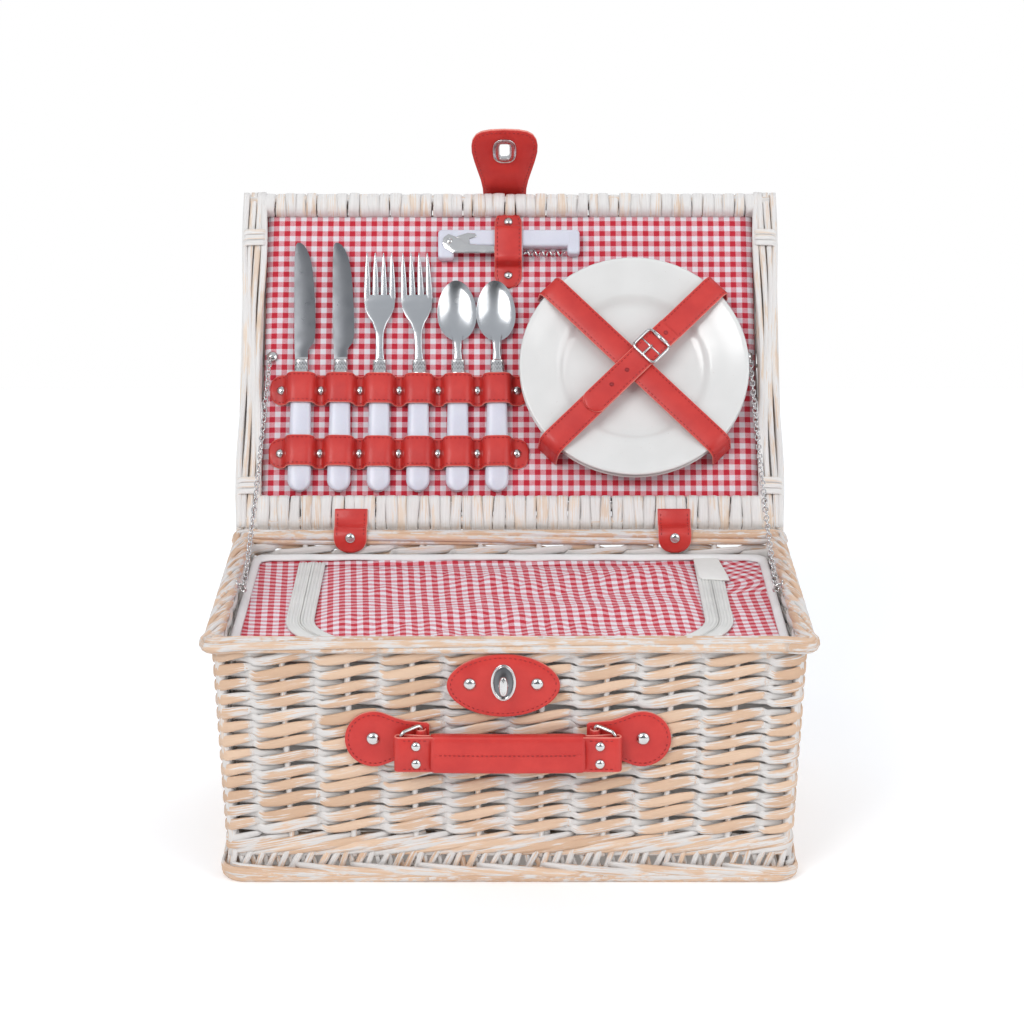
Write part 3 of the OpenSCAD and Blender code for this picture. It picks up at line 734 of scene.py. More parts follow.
def woven_walls():
    """Rows of twining between the waling at the bottom and the rolled rim."""
    rows = Bunch()
    first, last = WALL_Z0 + 13.5, WALL_Z1 - 4
    count = 13
    for row in range(count):
        twined_row(rows, first + (last - first) * row / (count - 1), row)
    make("wall_weave", rows, "willow", "basket",
         replaces=("front_wall", "back_wall", "end_walls", "corner_posts"))
    sticks = Bunch()
    for k in range(CELLS):
        stake(sticks, k, WALL_Z0 - 8, WALL_Z1 + 2, 3.4 if k in CORNERS else 2.1)
    make("wall_stakes", sticks, "willow", "basket")
    low_band = Bunch()
    for k in range(CELLS * 2):
        waling(low_band, k / 2 + rng.uniform(-0.06, 0.06))
    make("wall_waling", low_band, "willow", "basket")


def rim():
    """The rolled top border, with a small ear at each corner."""
    border = Bunch()
    z0 = (RIM_BASE + RIM_TOP) / 2
    inset = RIM_WIDE / 2
    half = (RIM_TOP - RIM_BASE) / 2
    turns = (0.2, 2.0, -0.2, -2.0)
    rolled_border(border, z0 - 0.3, inset - 1.9, half - 2.3, RIM_X - inset, RIM_Y - inset, 5, turns, 500,
                  ear=3.2, wide=2.75,
                  wash=0.5, r=6)
    rolled_border(border, z0, inset - 5.2, half - 5.0, RIM_X - inset, RIM_Y - inset, 2, turns, 540,
                  ear=1.5, wide=1.8,
                  wash=0.2, r=6)
    make("rim_rolls", border, "willow", "basket", replaces=("rim_border",))


def foot():
    """Rolled foot border and the slanted sticks above it."""
    border = Bunch()
    inset, top = 6, 9.4
    fx, fy = FOOT_HIGH[0] - inset, FOOT_HIGH[1] - inset
    rolled_border(border, top / 2, inset - 1.5, top / 2 - 1.5, fx, fy, 9, (0.4, 0.3, 0.4, -0.1), 700,
                  wide=2.3, wash=0.45, r=12)
    rolled_border(border, top / 2, inset - 3.8, top / 2 - 3.0, fx, fy, 5, (0.4, 0.3, 0.4, -0.1), 740,
                  wide=2.4, wash=0.45, r=12)
    for k in range(CELLS):
        waling(border, k + rng.uniform(-0.1, 0.1), 11.5, -7.5, 2.3, 4.2)
    make("foot_rolls", border, "willow", "basket", replaces=("foot_border",))
    sticks = Bunch()
    for k in range(CELLS * 5):
        for lean, depth in ((0.15, 2.2), (-0.13, 4.6)):
            u = np.linspace(0, lean + rng.uniform(-0.05, 0.05), 6) + (k + rng.uniform(-0.2, 0.2)) / 5
            z = np.linspace(top - 2.5, WALL_Z0 - 2.5, 6)
            point, out = around(u, half_x(WALL_Z0) - depth, half_y(WALL_Z0) - depth, 8)
            sweep(sticks, np.column_stack([point, z]), np.column_stack([out, 0 * z]),
                  rng.uniform(1.8, 2.5), 1.4,
                  tone=rng.uniform(), wash=rng.uniform(0.55, 1.1))
    make("foot_sticks", sticks, "willow", "basket")


def flat_weave(bunch, low, high, z0, lanes, cross_pitch, seed):
    """Strands across x, over and under sticks that run along x. Used for the base."""
    x = np.linspace(low[0], high[0], int((high[0] - low[0]) / 5))
    ys = np.linspace(low[1] + 3, high[1] - 3, lanes)
    for k, y in enumerate(ys):
        z = z0 + 1.9 * np.sin(math.pi * x / cross_pitch + math.pi * k)
        path = np.column_stack([x, np.full(len(x), y) + 0.4 * np.sin(x / 31 + k), z])
        sweep(bunch, path, (0, 0, 1), 3.0, 1.0, tone=(0.37 * k + seed) % 1,
              wash=0.4 + 0.3 * math.sin(k * 2.1))
    count = int((high[0] - low[0]) / cross_pitch)
    for k in range(count + 1):
        px = (k - count / 2) * cross_pitch
        y = np.linspace(low[1], high[1], 12)
        sweep(bunch, np.column_stack([np.full(12, px + cross_pitch / 2), y, np.full(12, z0)]), (0, 0, 1),
              2.4, 1.1,
              tone=(0.61 * k) % 1, wash=0.6)


def base():
    low, high = box("base_panel")
    weave = Bunch()
    flat_weave(weave, low, high, (low[2] + high[2]) / 2, 36, 26, 0.3)
    make("base_weave", weave, "willow", "basket", replaces=("base_panel",))


# ---------- lid ----------

def lid_weave():
    """Strands run from rail to rail over cross sticks and wrap round both rails."""
    strands = Bunch()
    lanes = 47
    half = RIM_X - RAIL_W + 1
    pitch = 2 * half / lanes
    tuck = LINING - 1.5
    low_rail = RAIL_W + LOW_MORE
    r = 5.0
    for k in range(lanes):
        x0 = -half + pitch * (k + 0.5) + rng.uniform(-0.25, 0.25)
        face = -1.35 + rng.uniform(-0.4, 0.15) - 0.9 * (k % 2)
        outer = -LID_T + 1.3
        v = np.linspace(RAIL_W + 4, LID_LEN - RAIL_W - 4, 46)
        run = np.column_stack([v, -LID_T + 3.1 + 1.7 * np.sin(math.pi * v / 26 + math.pi * k)])
        low, high = 1.6 + rng.uniform(-0.5, 0.6), LID_LEN - 1.5 + rng.uniform(-0.8, 0.5)
        start = rounded_path([(low_rail + 0.8, tuck), (low_rail - 0.6, face), (low, face), (low, outer),
                              (RAIL_W + 2, outer)], r)
        end = rounded_path([(LID_LEN - RAIL_W - 2, outer), (high, outer), (high, face),
                            (LID_LEN - RAIL_W + 0.6, face), (LID_LEN - RAIL_W - 0.8, tuck)], r)
        vn = resample(np.vstack([start, run, end]), 3.2)
        slope = unit(np.gradient(vn, axis=0))
        normal = np.column_stack([np.zeros(len(vn)), -slope[:, 1], slope[:, 0]])
        sway = 0.7 * np.sin(vn[:, 0] / 14 + k * 1.7)
        path = np.column_stack([x0 + sway, vn])
        width = pitch / 2 * (rng.uniform(1.0, 1.16) + 0.12 * np.sin(vn[:, 0] / 8 + k * 2.6))
        at_rail = np.maximum(np.clip(1 - (vn[:, 0] - 0) / RAIL_W, 0, 1),
                             np.clip((vn[:, 0] - LID_LEN + RAIL_W) / RAIL_W, 0, 1))
        wash = 0.72 + 0.2 * np.sin(vn[:, 0] / 17 + k * 2.3) + 0.2 * at_rail + rng.uniform(-0.3, 0.15)
        sweep(strands, placed(path, LID), normal @ np.array(LID)[:3, :3].T, width, 1.0,
              tone=rng.uniform(), wash=wash,
              along0=k * 77)
    make("lid_strands", strands, "pale_willow", "lid", replaces=("lid_weave", "lid_cross_rails"))
    sticks = Bunch()
    x = np.linspace(-RIM_X + 4, RIM_X - 4, 30)
    inside = [(v, -LID_T + 3.1, 1.5) for v in np.arange(RAIL_W + 10, LID_LEN - RAIL_W, 26)]
    rails = [(v, n, 4.0) for v in (6.4, LID_LEN - 6.4) for n in (-5.8, -14.2)] + [(RAIL_W + 1, -6.2, 3.4)]
    for k, (v, n, radius) in enumerate(inside + rails):
        path = np.column_stack([x, v + 0.4 * np.sin(x / 40 + k), np.full(len(x), n)])
        sweep(sticks, placed(path, LID), np.array(LID.col[2])[:3], radius, radius, ROUND,
              tone=rng.uniform(), wash=0.5)
    make("lid_cross_sticks", sticks, "pale_willow", "lid")


def lid_side_rail(bunch, side):
    """Long sticks side by side that cross once in a while, front and back."""
    v = np.linspace(1.2, LID_LEN - 1.2, 60)
    centre = RIM_X - RAIL_W / 2
    for layer, n in ((0, -3.2), (1, -LID_T + 3.2)):
        for k in range(4):
            lane = 1.5 - k
            cross = np.sin(math.pi * v / 92 + 1.1 * k + layer)
            x = centre + lane * 3.9 + 1.5 * cross
            path = np.column_stack([side * x, v, n + 0.7 * np.cos(math.pi * v / 92 + 1.1 * k)])
            sweep(bunch, placed(path, LID), np.array(LID.col[2])[:3], 2.25 + 0.25 * np.sin(v / 19 + k),
                  1.75,
                  tone=rng.uniform(), wash=0.62 + 0.25 * np.sin(v / 31 + 2 * k), along0=k * 59)
    for x, n in ((centre + 6.1, -7.5), (centre + 6.1, -12.5), (centre - 5.2, -8), (centre - 5.2, -12.4),
                 (centre, -10)):
        path = np.column_stack([np.full(60, side * x), v, n + 0.4 * np.sin(v / 40)])
        sweep(bunch, placed(path, LID), np.array(LID.col[2])[:3], 2.4, 2.4, ROUND, tone=rng.uniform(),
              wash=0.5)


def binding(bunch, side, v0, turns=3):
    """A strand wound tightly round one side rail."""
    centre = RIM_X - RAIL_W / 2
    t = np.linspace(0, turns, turns * 28)
    c, s = np.cos(TAU * t), np.sin(TAU * t)
    hx, hn = RAIL_W / 2 + 0.4, LID_T / 2 - 0.5
    x = centre + hx * np.sign(c) * np.abs(c) ** 0.35
    n = -LID_T / 2 + hn * np.sign(s) * np.abs(s) ** 0.35
    v = v0 + (t - turns / 2) * 4.4 + 1.2 * np.sin(TAU * t)
    path = np.column_stack([side * x, v, n])
    normal = np.column_stack([side * c, 0 * c, s])
    sweep(bunch, placed(path, LID), normal @ np.array(LID)[:3, :3].T, 2.2, 0.8, tone=0.2, wash=0.75)


def lid_sides():
    rails = Bunch()
    for side in (-1, 1):
        lid_side_rail(rails, side)
        for v0 in (32, LID_LEN - 38):
            binding(rails, side, v0)
    make("lid_side_sticks", rails, "pale_willow", "lid", replaces=("lid_side_rails",))


def cloth_grid(bunch, u, v, point, thickness=0.8):
    """A thin sheet over a grid: point(u, v) gives places, and along and across carry the weave."""
    uu, vv = np.meshgrid(u, v, indexing="ij")
    top = point(uu, vv)
    nu, nv = len(u), len(v)
    du = np.gradient(top, axis=0)
    dv = np.gradient(top, axis=1)
    normal = unit(np.cross(du, dv))
    bottom = top - normal * thickness
    verts = np.concatenate([top.reshape(-1, 3), bottom.reshape(-1, 3)])
    faces = []
    size = nu * nv
    for i in range(nu - 1):
        for j in range(nv - 1):
            a, b, c, d = i * nv + j, (i + 1) * nv + j, (i + 1) * nv + j + 1, i * nv + j + 1
            faces.append([a, b, c, d])
            faces.append([size + d, size + c, size + b, size + a])
    edge = [i * nv for i in range(nu)] + [(nu - 1) * nv + j for j in range(1, nv)]
    edge += [i * nv + nv - 1 for i in range(nu - 2, -1, -1)] + [j for j in range(nv - 2, 0, -1)]
    for a, b in zip(edge, edge[1:] + edge[:1]):
        faces.append([b, a, size + a, size + b])
    bunch.add(verts, faces, along=np.tile(vv.reshape(-1), 2), across=np.tile(uu.reshape(-1), 2))


def wrinkle(x, y, seed, size, scale):
    """Smooth cloth unevenness from a few crossing waves."""
    local = np.random.default_rng(seed)
    total = 0.0
    for _ in range(7):
        a = local.uniform(0, TAU)
        k = scale * local.uniform(0.5, 1.8)
        total = total + np.sin((x * math.cos(a) + y * math.sin(a)) * k + local.uniform(0, TAU))
    return total * size / 7 ** 0.5


def lining():
    """Gingham stretched over card inside the lid."""
    low_x, high_x = -RIM_X + RAIL_W + 1, RIM_X - RAIL_W - 1
    low_v, high_v = RAIL_W + LOW_MORE - 0.5, LID_LEN - RAIL_W + 0.5

    def point(x, v):
        edge = np.minimum.reduce([x - low_x, high_x - x, v - low_v, high_v - v])
        n = LINING - 0.5 + wrinkle(x, v, 5, 0.28, 0.05) - 2.0 * np.exp(-np.clip(edge, 0, None) / 3.0)
        return placed(np.stack([x, v, n], -1), LID)

    sheet = Bunch()
    cloth_grid(sheet, np.linspace(low_x, high_x, 130), np.linspace(low_v, high_v, 90), point)
    obj = make("lid_gingham", sheet, "gingham", "lid", replaces=("lid_lining",))


woven_walls()
rim()
foot()
base()
lid_weave()
lid_sides()
lining()

# ---------- fittings in local frames ----------

def at_lid(x, v, n, turn=0.0):
    """A frame on the open lid: x across, y up the lid, z out of its inner face."""
    return LID @ Matrix.Translation(Vector((x, v, n))) @ Matrix.Rotation(turn, 4, "Z")


def directions(matrix, vectors):
    return np.asarray(vectors, float) @ np.array(matrix)[:3, :3].T


def rivet(bunch, matrix, d, h):
    """A domed rivet head on a thin flange."""
    r = d / 2
    profile = [(0, 0), (r * 0.92, 0), (r, 0.12 * h), (r, 0.28 * h), (0.9 * r, 0.52 * h),
               (0.66 * r, 0.82 * h),
               (0.34 * r, 0.97 * h), (0, h)]
    revolve(bunch, profile, matrix, 24)


def stitches(bunch, path, normal, gap=3.3, size=0.36):
    """Short raised threads along a path in the basket's own frame."""
    path = np.asarray(path, float)
    normal = np.broadcast_to(np.asarray(normal, float), path.shape)
    both = resample(np.hstack([path, normal]), gap / 4)
    for i in range(1, len(both) - 3, 4):
        part = both[i:i + 3]
        lift = np.array([-0.12, 0.12, -0.12])[:, None]
        sweep(bunch, part[:, :3] + unit(part[:, 3:]) * lift, part[:, 3:], size, size * 0.8, ROUND[::2])


def band(bunch, thread, path, normal, width, thick=1.6, inset=1.9, stitched=True, ends=None):
    """A leather band with cut edges and a row of stitches inside each edge."""
    path, normal = np.asarray(path, float), np.asarray(normal, float)
    half = np.broadcast_to(np.asarray(width, float) / 2, (len(path),)).copy()
    if ends:
        step = np.r_[0, np.cumsum(np.linalg.norm(np.diff(path, axis=0), axis=1))]
        near = np.minimum(step, step[-1] - step)
        bite = np.clip(1 - near / ends, 0, 1)
        half = half - ends * (1 - np.sqrt(1 - bite ** 2 * 0.98))
    sweep(bunch, path, normal, half, thick / 2, BAND, wash=0.0, edge=1.0)
    if stitched:
        tangent = unit(np.gradient(path, axis=0))
        side = unit(np.cross(tangent, normal))
        for s in (-1, 1):
            line = path + side * s * (half - inset)[:, None] + unit(normal) * thick / 2
            stitches(thread, line[2:-2], normal[2:-2])


def at_angles(points, centre, n=72):
    """Where rays from a centre leave an outline: an outline with evenly turned points."""
    pts = np.asarray(points, float) - centre
    nxt = np.roll(pts, -1, 0)
    out = []
    for a in np.arange(n) * TAU / n:
        d = np.array([math.cos(a), math.sin(a)])
        cross = pts[:, 0] * d[1] - pts[:, 1] * d[0]
        cross2 = nxt[:, 0] * d[1] - nxt[:, 1] * d[0]
        hit = np.nonzero((cross * cross2 <= 0) & (cross != cross2))[0]
        best = 0.0
        for i in hit:
            t = cross[i] / (cross[i] - cross2[i])
            p = pts[i] + (nxt[i] - pts[i]) * t
            best = max(best, p @ d)
        out.append(centre + d * best)
    return np.array(out)


def loft(bunch, rings, caps=True, along=None, across=None):
    """Joins loops of equally many points into a skin."""
    rings = np.asarray(rings, float)
    m, k = rings.shape[:2]
    faces = []
    for i in range(m - 1):
        for j in range(k):
            n = (j + 1) % k
            faces.append([i * k + j, i * k + n, (i + 1) * k + n, (i + 1) * k + j])
    if caps:
        faces.append(list(range(k))[::-1])
        faces.append(list(range((m - 1) * k, m * k)))
    bunch.add(rings.reshape(-1, 3), faces, along=0.0 if along is None else np.asarray(along).reshape(-1),
              across=0.0 if across is None else np.asarray(across).reshape(-1))


# ---------- lock and hasp ----------

LOCK_X = (box("lock_plate")[0][0] + box("lock_plate")[1][0]) / 2
LOCK_Z = (box("lock_plate")[0][2] + box("lock_plate")[1][2]) / 2
PATCH_LOW, PATCH_HIGH = box("lock_patch")
PATCH_FACE = PATCH_LOW[1]
BUTTON_FACE = box("lock_button")[0][1]


def lock():
    patch, thread = Bunch(), Bunch()
    place = facing_front((PATCH_LOW[0] + PATCH_HIGH[0]) / 2, PATCH_HIGH[1],
                         (PATCH_LOW[2] + PATCH_HIGH[2]) / 2 - 1.3)
    wide, high = PATCH_HIGH[0] - PATCH_LOW[0], PATCH_HIGH[2] - PATCH_LOW[2]
    thick = PATCH_HIGH[1] - PATCH_LOW[1]
    outline = ellipse(wide, high + 2, 72, 1.04)
    slab(patch, outline, 0, thick, place, soft=0.7, edge=1.0, dome=0.3)
    inner = ellipse(wide - 5, high - 3, 96, 1.04)
    inner = np.vstack([inner, inner[:1]])
    stitches(thread, placed(np.column_stack([inner, np.full(len(inner), thick)]), place), (0, -1, 0))
    make("lock_leather", patch, "red_leather", "basket", replaces=("lock_patch",))
    make("lock_thread", thread, "red_thread", "basket")
    plate = Bunch()
    spot = facing_front(LOCK_X, PATCH_FACE, LOCK_Z)
    slab(plate, ellipse(16.5, 25, 64), 0, 1.0, spot, soft=0.5, holes=ellipse(12.5, 20.5, 64))
    recess = Bunch()
    slab(recess, ellipse(13.2, 21.2, 64), 0, 0.5, spot, soft=0.2)
    make("lock_recess", recess, "blade_steel", "basket")
    for inset, rise in ((0, 0.9), (0.9, 1.9)):
        slab(plate, ellipse(16.1 - 2 * inset, 24.6 - 2 * inset, 64), rise * 0.5, rise, spot, soft=0.35,
             holes=ellipse(14.6 - 2 * inset, 23.1 - 2 * inset, 64))
    make("lock_escutcheon", plate, "chrome", "basket", replaces=("lock_plate",))
    button = Bunch()
    reach = PATCH_FACE - BUTTON_FACE
    revolve(button, [(0, -1.5), (2.4, -1.5), (2.4, reach - 3), (3.3, reach - 2.6), (0, reach - 2.6)],
            spot, 24)
    slab(button, ellipse(5.4, 13, 40, 0.75), reach - 3, reach, spot, soft=1.0, dome=0.2)
    slab(button, ellipse(2.2, 9.6, 32, 0.7), reach - 0.5, reach + 0.35, spot, soft=0.4, dome=0.2)
    make("lock_turn_button", button, "chrome", "lock_button", replaces=("lock_button",))


HASP = JOINTS["hasp_bend"]
HASP_V, HASP_N = 266.5, -21.1
HASP_BEND = math.radians(HASP["range_deg"][1])
ON_HASP = LID @ Matrix.Translation(Vector((LOCK_X, HASP_V, HASP_N))) @ Matrix.Rotation(HASP_BEND, 4, "X")
EYELET = 52


def hasp_outline():
    """Half widths up the hasp: straight, then a smooth flare to a round end."""
    half = [(1.5, 16.2), (11, 16.5), (21, 18.1), (30, 20.3), (40, 22.7), (50, 24.6), (57, 24.8), (63, 23.9),
            (68, 21.4), (71.2, 17.2), (72.9, 10.5), (73.5, 0.0)]
    right = [(w, y) for y, w in half]
    left = [(-w, y) for w, y in right[::-1][1:]]
    return np.array(right + left)


def hasp():
    leather_, thread, steel = Bunch(), Bunch(), Bunch()
    centre = np.array([0.0, EYELET])
    outer = at_angles(hasp_outline(), centre, 96)
    slab(leather_, outer, -1.1, 1.1, ON_HASP, soft=0.55,
         holes=at_angles(ellipse(11, 19, 96, 0.6, centre), centre, 96), edge=1.0)
    line = outer - outline_normals(outer) * 2.6
    line = np.vstack([line, line[:1]])
    for side in (-1, 1):
        stitches(thread, placed(np.column_stack([line, np.full(len(line), side * 1.1)]), ON_HASP),
                 directions(ON_HASP, [(0, 0, side)])[0])
        lows, highs = (1.0, 1.9) if side > 0 else (-1.9, -1.0)
        slab(steel, ellipse(17.5, 24.5, 64, 0.72, centre), lows, highs, ON_HASP, soft=0.45,
             holes=ellipse(8.6, 15.8, 64, 0.5, centre))
    slab(steel, ellipse(10.8, 18.8, 64, 0.6, centre), -1.7, 1.7, ON_HASP, soft=0.3,
         holes=ellipse(7.6, 14.8, 64, 0.35, centre))
    make("hasp_leather", leather_, "red_leather", "hasp", replaces=("hasp_flap",))
    make("hasp_thread", thread, "red_thread", "hasp")
    make("hasp_eyelet_steel", steel, "chrome", "hasp", replaces=("hasp_eyelet",))
    root, root_thread = Bunch(), Bunch()
    v = np.linspace(HASP_V - 42, HASP_V - 3, 14)
    path = placed(np.column_stack([np.full(14, LOCK_X), v, np.full(14, HASP_N)]), LID)
    band(root, root_thread, path, np.tile(directions(LID, [(0, 0, -1)]), (14, 1)), 32, 2.2, 2.4)
    make("hasp_root_leather", root, "red_leather", "lid", replaces=("hasp_root",))
    make("hasp_root_thread", root_thread, "red_thread", "lid")
    bend = Bunch()
    a = np.linspace(0, HASP_BEND, 9)
    straight = np.array([(HASP_V - 5, HASP_N), (HASP_V - 2.5, HASP_N)])
    r = 2.2
    arc = np.column_stack([HASP_V - 1.4 + r * np.sin(a), HASP_N + r * (1 - np.cos(a))])
    run = arc[-1] + np.outer([1.5, 3.2], (math.cos(HASP_BEND), math.sin(HASP_BEND)))
    vn = np.vstack([straight, arc, run])
    slope = unit(np.gradient(vn, axis=0))
    path = placed(np.column_stack([np.full(len(vn), LOCK_X), vn]), LID)
    normal = directions(LID, np.column_stack([np.zeros(len(vn)), slope[:, 1], -slope[:, 0]]))
    sweep(bend, path, normal, 16.0, 1.12, BAND, edge=1.0)
    obj = make("hasp_bend_leather", bend, "red_leather")
    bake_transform(obj)


# ---------- carrying handle ----------

ANCHOR_HIGH = box("handle_anchors")[1]
STRAP_LOW, STRAP_HIGH = box("handle_strap")
HANDLE_X = (STRAP_LOW[0] + STRAP_HIGH[0]) / 2
HANDLE_Z = (STRAP_LOW[2] + STRAP_HIGH[2]) / 2
HANDLE_Y = (STRAP_LOW[1] + STRAP_HIGH[1]) / 2
HANDLE_END = (STRAP_HIGH[0] - STRAP_LOW[0]) / 2
RING_X = abs(JOINTS["ring_left_swing"]["pos_m"][0]) / MM + HANDLE_X
RING_Y = JOINTS["ring_left_swing"]["pos_m"][1] / MM
RING_Z = 97


def anchor_patch(bunch, thread, side):
    """A round leather patch that narrows to a tongue behind the handle and loops round the ring."""
    centre_x, r = 88, 19
    turns = np.linspace(math.radians(-108), math.radians(108), 34)
    arc = [(centre_x + r * math.cos(a), r * math.sin(a)) for a in turns]
    tongue = [(74, 14.8), (67, 12.6), (RING_X - 5.5, 11.2)]
    outline = np.array(arc + tongue + [(x, -z) for x, z in tongue[::-1]])
    outline = np.column_stack([side * outline[:, 0], outline[:, 1]])
    if side < 0:
        outline = outline[::-1]
    face = ANCHOR_HIGH[1]
    place = facing_front(HANDLE_X, face, ANCHOR_HIGH[2] - r)
    even = at_angles(outline, np.array([side * 76.0, 0.0]), 96)
    slab(bunch, even, 0, 2.5, place, soft=0.6, edge=1.0)
    line = even - outline_normals(even) * 2.3
    stitches(thread, placed(np.column_stack([np.vstack([line, line[:1]]), np.full(len(line) + 1, 2.5)]),
                            place), (0, -1, 0))
    a = np.linspace(-math.pi * 0.5, math.pi * 0.5, 12)
    loop = np.column_stack([RING_X + 2.9 * np.sin(a), RING_Y + 1.3 - 2.6 * np.cos(a) * 1.35])
    loop = np.vstack([[RING_X - 2.9, face - 1.5], loop, [RING_X + 2.9, face - 1.5]])
    path = np.column_stack([HANDLE_X + side * loop[:, 0], loop[:, 1], np.full(len(loop), RING_Z)])
    out = np.column_stack([side * (loop[:, 0] - RING_X), np.minimum(loop[:, 1] - face + 2, -0.1),
                           np.zeros(len(loop))])
    sweep(bunch, path, out, 12.5, 0.7, BAND, edge=1.0)


def handle():
    patches, thread = Bunch(), Bunch()
    for side in (-1, 1):
        anchor_patch(patches, thread, side)
    make("anchor_leather", patches, "red_leather", "basket", replaces=("handle_anchors",))
    make("anchor_thread", thread, "red_thread", "basket")
    tabs, thread = Bunch(), Bunch()
    front, back = STRAP_LOW[1] + 0.9, HANDLE_Y + 2.0
    for side in (-1, 1):
        xy = rounded_path([(49, front), (HANDLE_END - 0.4, front),
                           (HANDLE_END - 0.4, STRAP_HIGH[1] - 0.9), (HANDLE_END - 9, STRAP_HIGH[1] - 0.9),
                           (57, back - 0.9), (49, back - 0.9)], 3.4)
        path = np.column_stack([HANDLE_X + side * xy[:, 0], xy[:, 1], np.full(len(xy), HANDLE_Z)])
        slope = unit(np.gradient(xy, axis=0))
        normal = np.column_stack([side * slope[:, 1], -slope[:, 0], np.zeros(len(xy))]) * -1
        sweep(tabs, path, -normal, 12.0, 0.85, BAND, edge=1.0)
        core = np.array([(30, HANDLE_Y), (62, HANDLE_Y)])
        path = np.column_stack([HANDLE_X + side * core[:, 0], core[:, 1], np.full(2, HANDLE_Z)])
        sweep(tabs, path, (0, -1, 0), 11.4, 2.4, BAND)
        for z in (-9.8, 9.8):
            x = np.linspace(52.5, HANDLE_END - 3, 10)
            line = np.column_stack([HANDLE_X + side * x, np.full(10, front - 0.85),
                                    np.full(10, HANDLE_Z + z)])
            stitches(thread, line, (0, -1, 0))
    make("handle_tabs", tabs, "red_leather", "handle", replaces=("handle_strap",))
    grip = Bunch()
    glow, ghigh = box("handle_grip")
    half = (ghigh[0] - glow[0]) / 2
    x = np.linspace(-half, half, 41)
    sag = -0.4 * (1 - (x / half) ** 2)
    path = np.column_stack([HANDLE_X + x, np.full(41, HANDLE_Y), HANDLE_Z + sag])
    taper = 1 - 0.05 * np.clip((np.abs(x) - half + 3) / 3, 0, 1)
    section = oval_section(28, 0.42)
    sweep(grip, path, (0, -1, 0), 13.0 * taper, 4.7 * taper, section)
    seam = path + np.array([0, -4.75, 0])
    stitches(thread, seam[2:-2], (0, -1, 0), gap=3.0)
    sweep(grip, seam[1:-1] + np.array([0, 0.25, 0.9]), (0, -1, 0), 0.45, 0.35, ROUND)
    sweep(grip, seam[1:-1] + np.array([0, 0.25, -0.9]), (0, -1, 0), 0.45, 0.35, ROUND)
    make("handle_grip_leather", grip, "red_leather", "handle", replaces=("handle_grip",))
    make("handle_thread", thread, "red_thread", "handle")
    rivets = Bunch()
    for s in (-1, 1):
        for up in (-6, 6):
            rivet(rivets, facing_front(HANDLE_X + s * 60, STRAP_LOW[1] + 0.1, HANDLE_Z + up), 6.6, 2.4)
    make("handle_rivet_heads", rivets, "chrome", "handle", replaces=("handle_rivets",))
    for side, name in ((-1, "left"), (1, "right")):
        ring = Bunch()
        rlow, rhigh = box("handle_ring_" + name)
        outer_x = (rlow[0] if side < 0 else rhigh[0]) - side * 1.5
        inner = np.array([HANDLE_X + side * RING_X, RING_Y])
        outer = np.array([outer_x, rlow[1] + 1.5])
        corners = [(*inner, RING_Z - 15.5), (*inner, RING_Z + 15.5), (*outer, RING_Z + 11.8),
                   (*outer, RING_Z - 14.5)]
        corners.append(corners[0])
        middle = (np.array(corners[0]) + np.array(corners[1])) / 2
        loop = rounded_path([middle, *corners[1:], middle], 3.0)[:-1]
        tube(ring, loop, 1.35, closed=True, sides=10)
        make("ring_wire_" + name, ring, "chrome", "ring_" + name, replaces=("handle_ring_" + name,))


def body_rivets():
    heads = Bunch()
    for s in (-1, 1):
        rivet(heads, facing_front(LOCK_X + s * 22, PATCH_FACE + 0.1, LOCK_Z - 1), 8.4, 2.8)
        rivet(heads, facing_front(HANDLE_X + s * 88.5, ANCHOR_HIGH[1] - 2.4, ANCHOR_HIGH[2] - 19 + 0.7),
              8.8, 2.9)
        rivet(heads, facing_front(s * HINGE_STRAP_X + 2, HINGE_STRAP_Y - 1.2, RIM_TOP - 4), 7.4, 2.2)
    make("body_rivet_heads", heads, "chrome", "basket", replaces=("body_rivets",))


# ---------- hinge straps and chains ----------

HINGE_LOW, HINGE_HIGH = box("hinge_straps")
HINGE_STRAP_X = HINGE_HIGH[0] - 12
HINGE_STRAP_Y = HINGE_LOW[1] + 1


def hinge_straps():
    """Leather that runs from the back rim up onto the inner face of the lid, with a round lower end."""
    straps, thread = Bunch(), Bunch()
    climb = [LID @ Vector((0, v, n)) for v, n in ((2.0, 0.6), (13.5, 0.7))]
    yz = rounded_path([(HINGE_STRAP_Y + 0.5, HINGE_LOW[2] - 1.5), (HINGE_STRAP_Y - 1.0, RIM_TOP - 6),
                       (HINGE_STRAP_Y + 1.2, RIM_TOP + 1.2),
                       *((p.y, p.z) for p in climb)], 5)
    yz = resample(yz, 1.4)
    slope = unit(np.gradient(yz, axis=0))
    for s in (-1, 1):
        path = np.column_stack([np.full(len(yz), s * HINGE_STRAP_X + 2), yz])
        normal = np.column_stack([np.zeros(len(yz)), -slope[:, 1], slope[:, 0]])
        step = np.r_[0, np.cumsum(np.linalg.norm(np.diff(path, axis=0), axis=1))]
        half = 12 - 10.5 * (1 - np.sqrt(1 - np.clip(1 - step / 11, 0, 1) ** 2 * 0.98))
        sweep(straps, path, normal, half, 0.9, BAND, edge=1.0)
        line = path + normal * 0.9
        for side in (-1, 1):
            stitches(thread, (line + np.array([side * 9.8, 0, 0]))[9:-1], normal[9:-1])
    for name, bunch, mat in (("hinge_leather", straps, "red_leather"),
                             ("hinge_thread", thread, "red_thread")):
        obj = make(name, bunch, mat,
                   replaces=("hinge_straps",) if mat == "red_leather" else ())
        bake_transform(obj)


